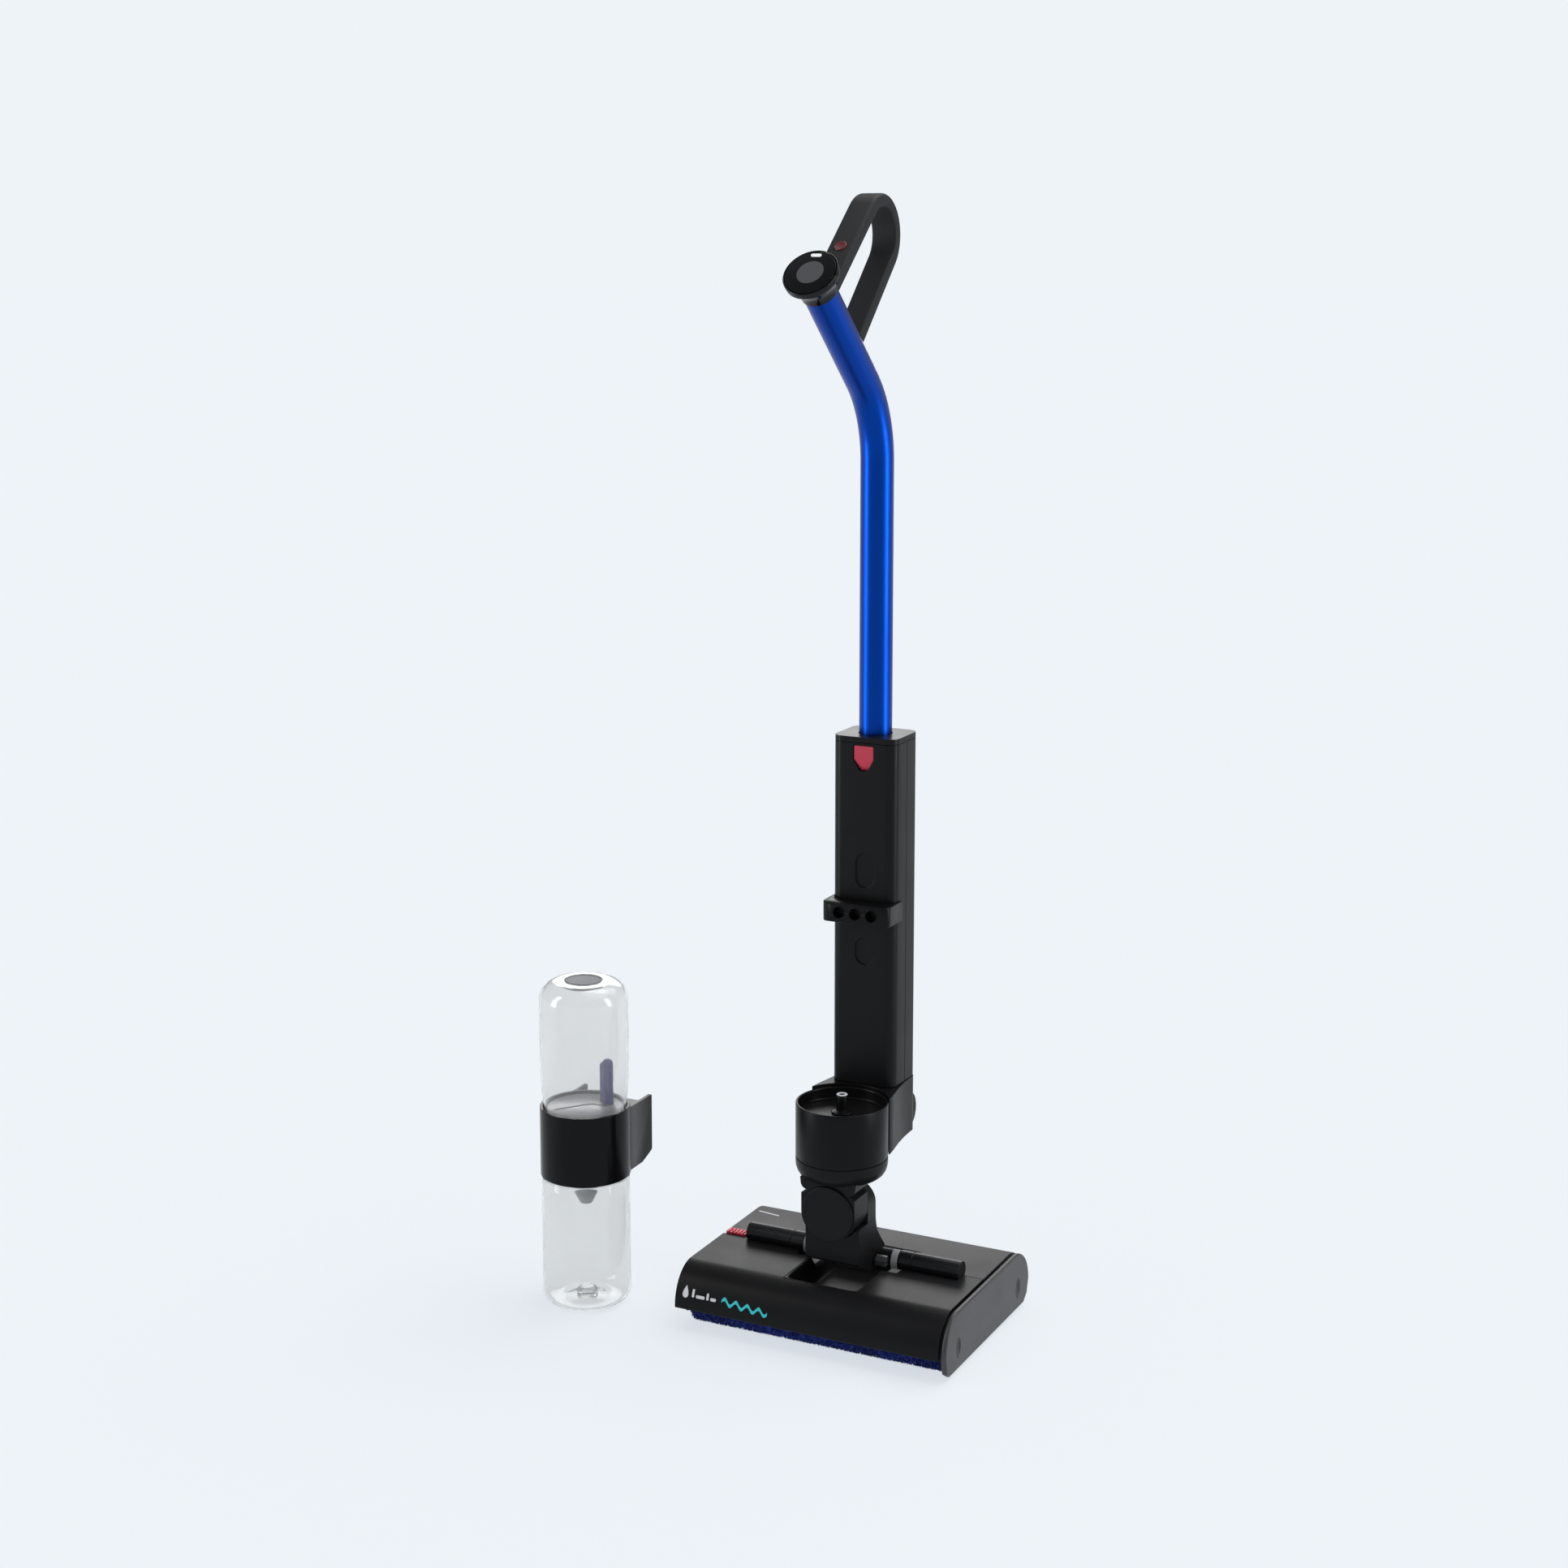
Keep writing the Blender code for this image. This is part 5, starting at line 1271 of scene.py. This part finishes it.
lower_outer = ([(0.0430, 0.1560), (0.0430, 0.1392)] + arc((0.0438, 0.1344), (0.0022, 0.0022), 90, 0, 6)
               + [(0.0458, 0.1150), (0.0460, 0.0900), (0.0460, 0.0200)]
               + arc((0.0330, 0.0130), (0.0130, 0.0130), 0, -90, 16)
               + [(0.0230, 0.0), (0.0200, 0.0014), (0.0080, 0.0014)])
lower_inner = ([(0.0080, 0.0036), (0.0200, 0.0036), (0.0240, 0.0024)]
               + arc((0.0330, 0.0130), (0.0108, 0.0108), -90, 0, 16)
               + [(0.0438, 0.0200), (0.0438, 0.0900), (0.0436, 0.1150), (0.0436, 0.1330), (0.0410, 0.1392),
                  (0.0408, 0.1560)])
lower_bottle = on_tank(ringed("lower_clear_bottle", lower_outer + lower_inner, closed=True, steps=128))
lower_bottle.data.materials.append(clear)
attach(lower_bottle, "lower_tank")
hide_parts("lower_bottle")

upper_outer = ([(0.0195, 0.3402), (0.0195, 0.3452)] + arc((0.0203, 0.3452), (0.0008, 0.0008), 180, 90, 3)
               + arc((0.0262, 0.3262), (0.0198, 0.0198), 90, 0, 20)
               + [(0.0460, 0.2620), (0.0457, 0.2440), (0.0449, 0.2300), (0.0441, 0.2200),
                  (0.0432, 0.2125), (0.0430, 0.2085), (0.0430, 0.1930)])
upper_inner = ([(0.0408, 0.1930), (0.0408, 0.2085), (0.0411, 0.2135), (0.0419, 0.2205), (0.0427, 0.2300),
                (0.0435, 0.2440), (0.0438, 0.2620)]
               + arc((0.0262, 0.3262), (0.0176, 0.0176), 0, 90, 20)
               + [(0.0222, 0.3437), (0.0217, 0.3430), (0.0217, 0.3402)])
upper_bottle = on_tank(ringed("upper_clear_bottle", upper_outer + upper_inner, closed=True, steps=128))
upper_bottle.data.materials.append(clear)
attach(upper_bottle, "upper_tank")
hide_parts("upper_bottle")


# ==== Band and saddle =========================================================================
# A gloss black ABS ring that clamps the two bottles together. Two cheeks reach back from it and
# straddle the tower when the tank unit is docked.
BAND_LOW, BAND_HIGH = 0.138, 0.212
band_profile = ([(0.0466, BAND_HIGH)] + arc((0.0464, BAND_HIGH - 0.0008), (0.0006, 0.0008), 60, 0, 3)
                + [(0.0470, BAND_LOW + 0.0030)]
                + arc((0.0455, BAND_LOW + 0.0015), (0.0015, 0.0015), 0, -90, 4)
                + [(0.0437, BAND_LOW), (0.0437, BAND_HIGH - 0.0004), (0.0441, BAND_HIGH)])
band = ringed("band_ring", band_profile, closed=True, steps=160)
for side_name, side in (("left", -1), ("right", 1)):
    cheek = eased([(0.0216, 0.2080, 0.0), (0.0216, 0.1392, 0.0), (0.0480, 0.1400, 0.010),
                   (0.0684, 0.1475, 0.003), (0.0684, 0.2080, 0.0015)], 6)
    low, high = sorted((side * 0.0375, side * 0.0409))
    corner = [(side * 0.0400, 0.0218), (side * 0.0400, 0.0465), (side * 0.0200, 0.0465),
              (side * 0.0200, 0.0416)]
    carved(band, slab(f"{side_name}_cheek", [cheek], "X", low, high),
           slab(f"{side_name}_web", [corner], "Z", 0.1393, 0.2077), operation="UNION")
on_tank(band)
band.data.shade_smooth()
band.data.set_sharp_from_angle(angle=math.radians(32))
band_black = moulded("band_black", (0.0040, 0.0040, 0.0045), 0.20, 1500, 0.000006, 0.10, 1.5, 0.03)
band.data.materials.append(band_black)
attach(band, "band")
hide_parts("tank_band")


# ==== Fittings inside the bottles =============================================================
# The divider plate with its vane, the violet riser that fills the upper bottle, the float valve
# below and the filler plug. All are small grey and violet mouldings.
fitting_grey = moulded("fitting_grey", (0.23, 0.235, 0.245), 0.22, 1400, 0.00002, 0.45, 1.3)
plug_grey = moulded("plug_grey", (0.115, 0.117, 0.125), 0.5, 1500, 0.00003, 0.35, 1.3)
plug = on_tank(ringed("filler_plug", [(0, 0.3457), (0.0172, 0.3457), (0.0176, 0.3460)]
                      + arc((0.0182, 0.3455), (0.0007, 0.0007), 110, 0, 5)
                      + [(0.0189, 0.3446), (0.0190, 0.3401), (0, 0.3401)], steps=96))
plug.data.materials.append(plug_grey)
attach(plug, "top_plug")
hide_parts("top_plug")

plate_profile = [(0, 0.2097), (0.0386, 0.2097), (0.0392, 0.2100), (0.0400, 0.2099), (0.0403, 0.2095),
                 (0.0403, 0.1896), (0.0427, 0.1893), (0.0427, 0.1597), (0.0405, 0.1597),
                 (0.0405, 0.1862), (0.0380, 0.1882), (0.0380, 0.2077), (0, 0.2077)]
plate = ringed("divider_plate", plate_profile, steps=128)
vane = on_tank(slab("divider_vane", [eased([(-0.024, -0.022, 0.001), (0.0015, 0.012, 0.004),
                                            (0.021, 0.010, 0.001), (0.021, 0.0085, 0.001),
                                            (0.0025, 0.0102, 0.004), (-0.0225, -0.023, 0.001)], 4)],
                    "Z", 0.2097, 0.2102))
vane.data.materials.append(plug_grey)
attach(vane, "band")
on_tank(plate)
plate.data.shade_smooth()
plate.data.set_sharp_from_angle(angle=math.radians(32))
plate.data.materials.append(fitting_grey)
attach(plate, "band")
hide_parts("lid_plate")

violet = moulded("violet_plastic", (0.030, 0.034, 0.150), 0.22, 700, 0.00004, 0.5, 1.6)
RISER_FOOT = (0.0160, 0.0200, 0.2103)
riser = ringed("riser", [(0, 0.0474)] + arc((0, 0.0419), (0.0058, 0.0055), 80, 0, 8)
               + [(0.0058, 0.0080), (0.0060, 0.0002), (0, 0.0002)], steps=48)
RISER_LOBES = ((-0.0060, 0.0020, 0.0429, 0.0042), (0.0046, -0.0030, 0.0394, 0.0030))
for lobe, (across, deep, top, radius) in enumerate(RISER_LOBES):
    side_tube = ringed(f"lobe_{lobe}", [(0, top)] + arc((0, top - radius), (radius, radius), 80, 0, 8)
                       + [(radius, 0.0002), (0, 0.0002)], steps=40)
    side_tube.matrix_world = Matrix.Translation((across, deep, 0))
    carved(riser, settled(side_tube), operation="UNION")
riser.matrix_world = Matrix.Translation(TANK + Vector(RISER_FOOT))
settled(riser)
riser.data.shade_smooth()
riser.data.set_sharp_from_angle(angle=math.radians(40))
riser.data.materials.append(violet)
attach(riser, "band")
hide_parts("riser_tube")

float_profile = [(0, 0.2072), (0.0079, 0.2072), (0.0079, 0.1460), (0.0118, 0.1350),
                 (0.0120, 0.1330), (0.0118, 0.1190), (0.0112, 0.1170), (0.0064, 0.1066),
                 (0.0056, 0.1061), (0, 0.1061)]
float_valve = on_tank(ringed("float", float_profile, steps=64))
float_valve.data.materials.append(fitting_grey)
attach(float_valve, "band")
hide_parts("float_valve")


# ==== Pieces carried over from the frame ======================================================
# Pins, cores, trays, motors and the tower's contents keep their plain machined or moulded forms;
# each gets the finish of its real material.
def drawn_steel():
    """Bright steel with fine turning marks."""
    material = bpy.data.materials.new("drawn_steel")
    material.use_nodes = True
    tree = material.node_tree
    shader = tree.nodes["Principled BSDF"]
    surface = placed_group(tree, MOULD_GRAIN, Grain_Scale=1200, Patch_Scale=90)
    colour = mixed_colour(tree, surface.outputs["Patches"], (0.46, 0.46, 0.47), (0.60, 0.60, 0.62))
    tree.links.new(colour, shader.inputs["Base Color"])
    tree.links.new(spread(tree, surface.outputs["Patches"], 0.22, 0.38), shader.inputs["Roughness"])
    shader.inputs["Metallic"].default_value = 1.0
    bump = tree.nodes.new("ShaderNodeBump")
    bump.inputs["Distance"].default_value = 0.00002
    tree.links.new(surface.outputs["Height"], bump.inputs["Height"])
    tree.links.new(bump.outputs["Normal"], shader.inputs["Normal"])
    return material


steel = drawn_steel()
rubber = moulded("black_rubber", (0.012, 0.012, 0.012), 0.75, 900, 0.00006, 0.3)
board = moulded("board_green", (0.012, 0.085, 0.035), 0.35, 700, 0.00008, 0.5)
CARRIED = {
    "chassis": black_satin, "right_bearing_plate": black_satin,
    "front_debris_tray": fitting_grey, "rear_debris_tray": fitting_grey,
    "front_roller_core": fitting_grey, "rear_roller_core": fitting_grey,
    "front_bristle_roller": rubber, "rear_bristle_roller": rubber,
    "front_wiper": rubber, "rear_wiper": rubber,
    "front_roller_motor": steel, "rear_roller_motor": steel, "hinge_pin": steel, "swivel_pin": steel,
    "wand_socket": fitting_grey, "battery_pack": plug_grey, "water_pump": steel, "control_board": board,
    "lower_seal": rubber, "upper_seal": rubber, "base_valve": clear,
}
for node_name, look in CARRIED.items():
    nodes[node_name].data.materials.clear()
    nodes[node_name].data.materials.append(look)
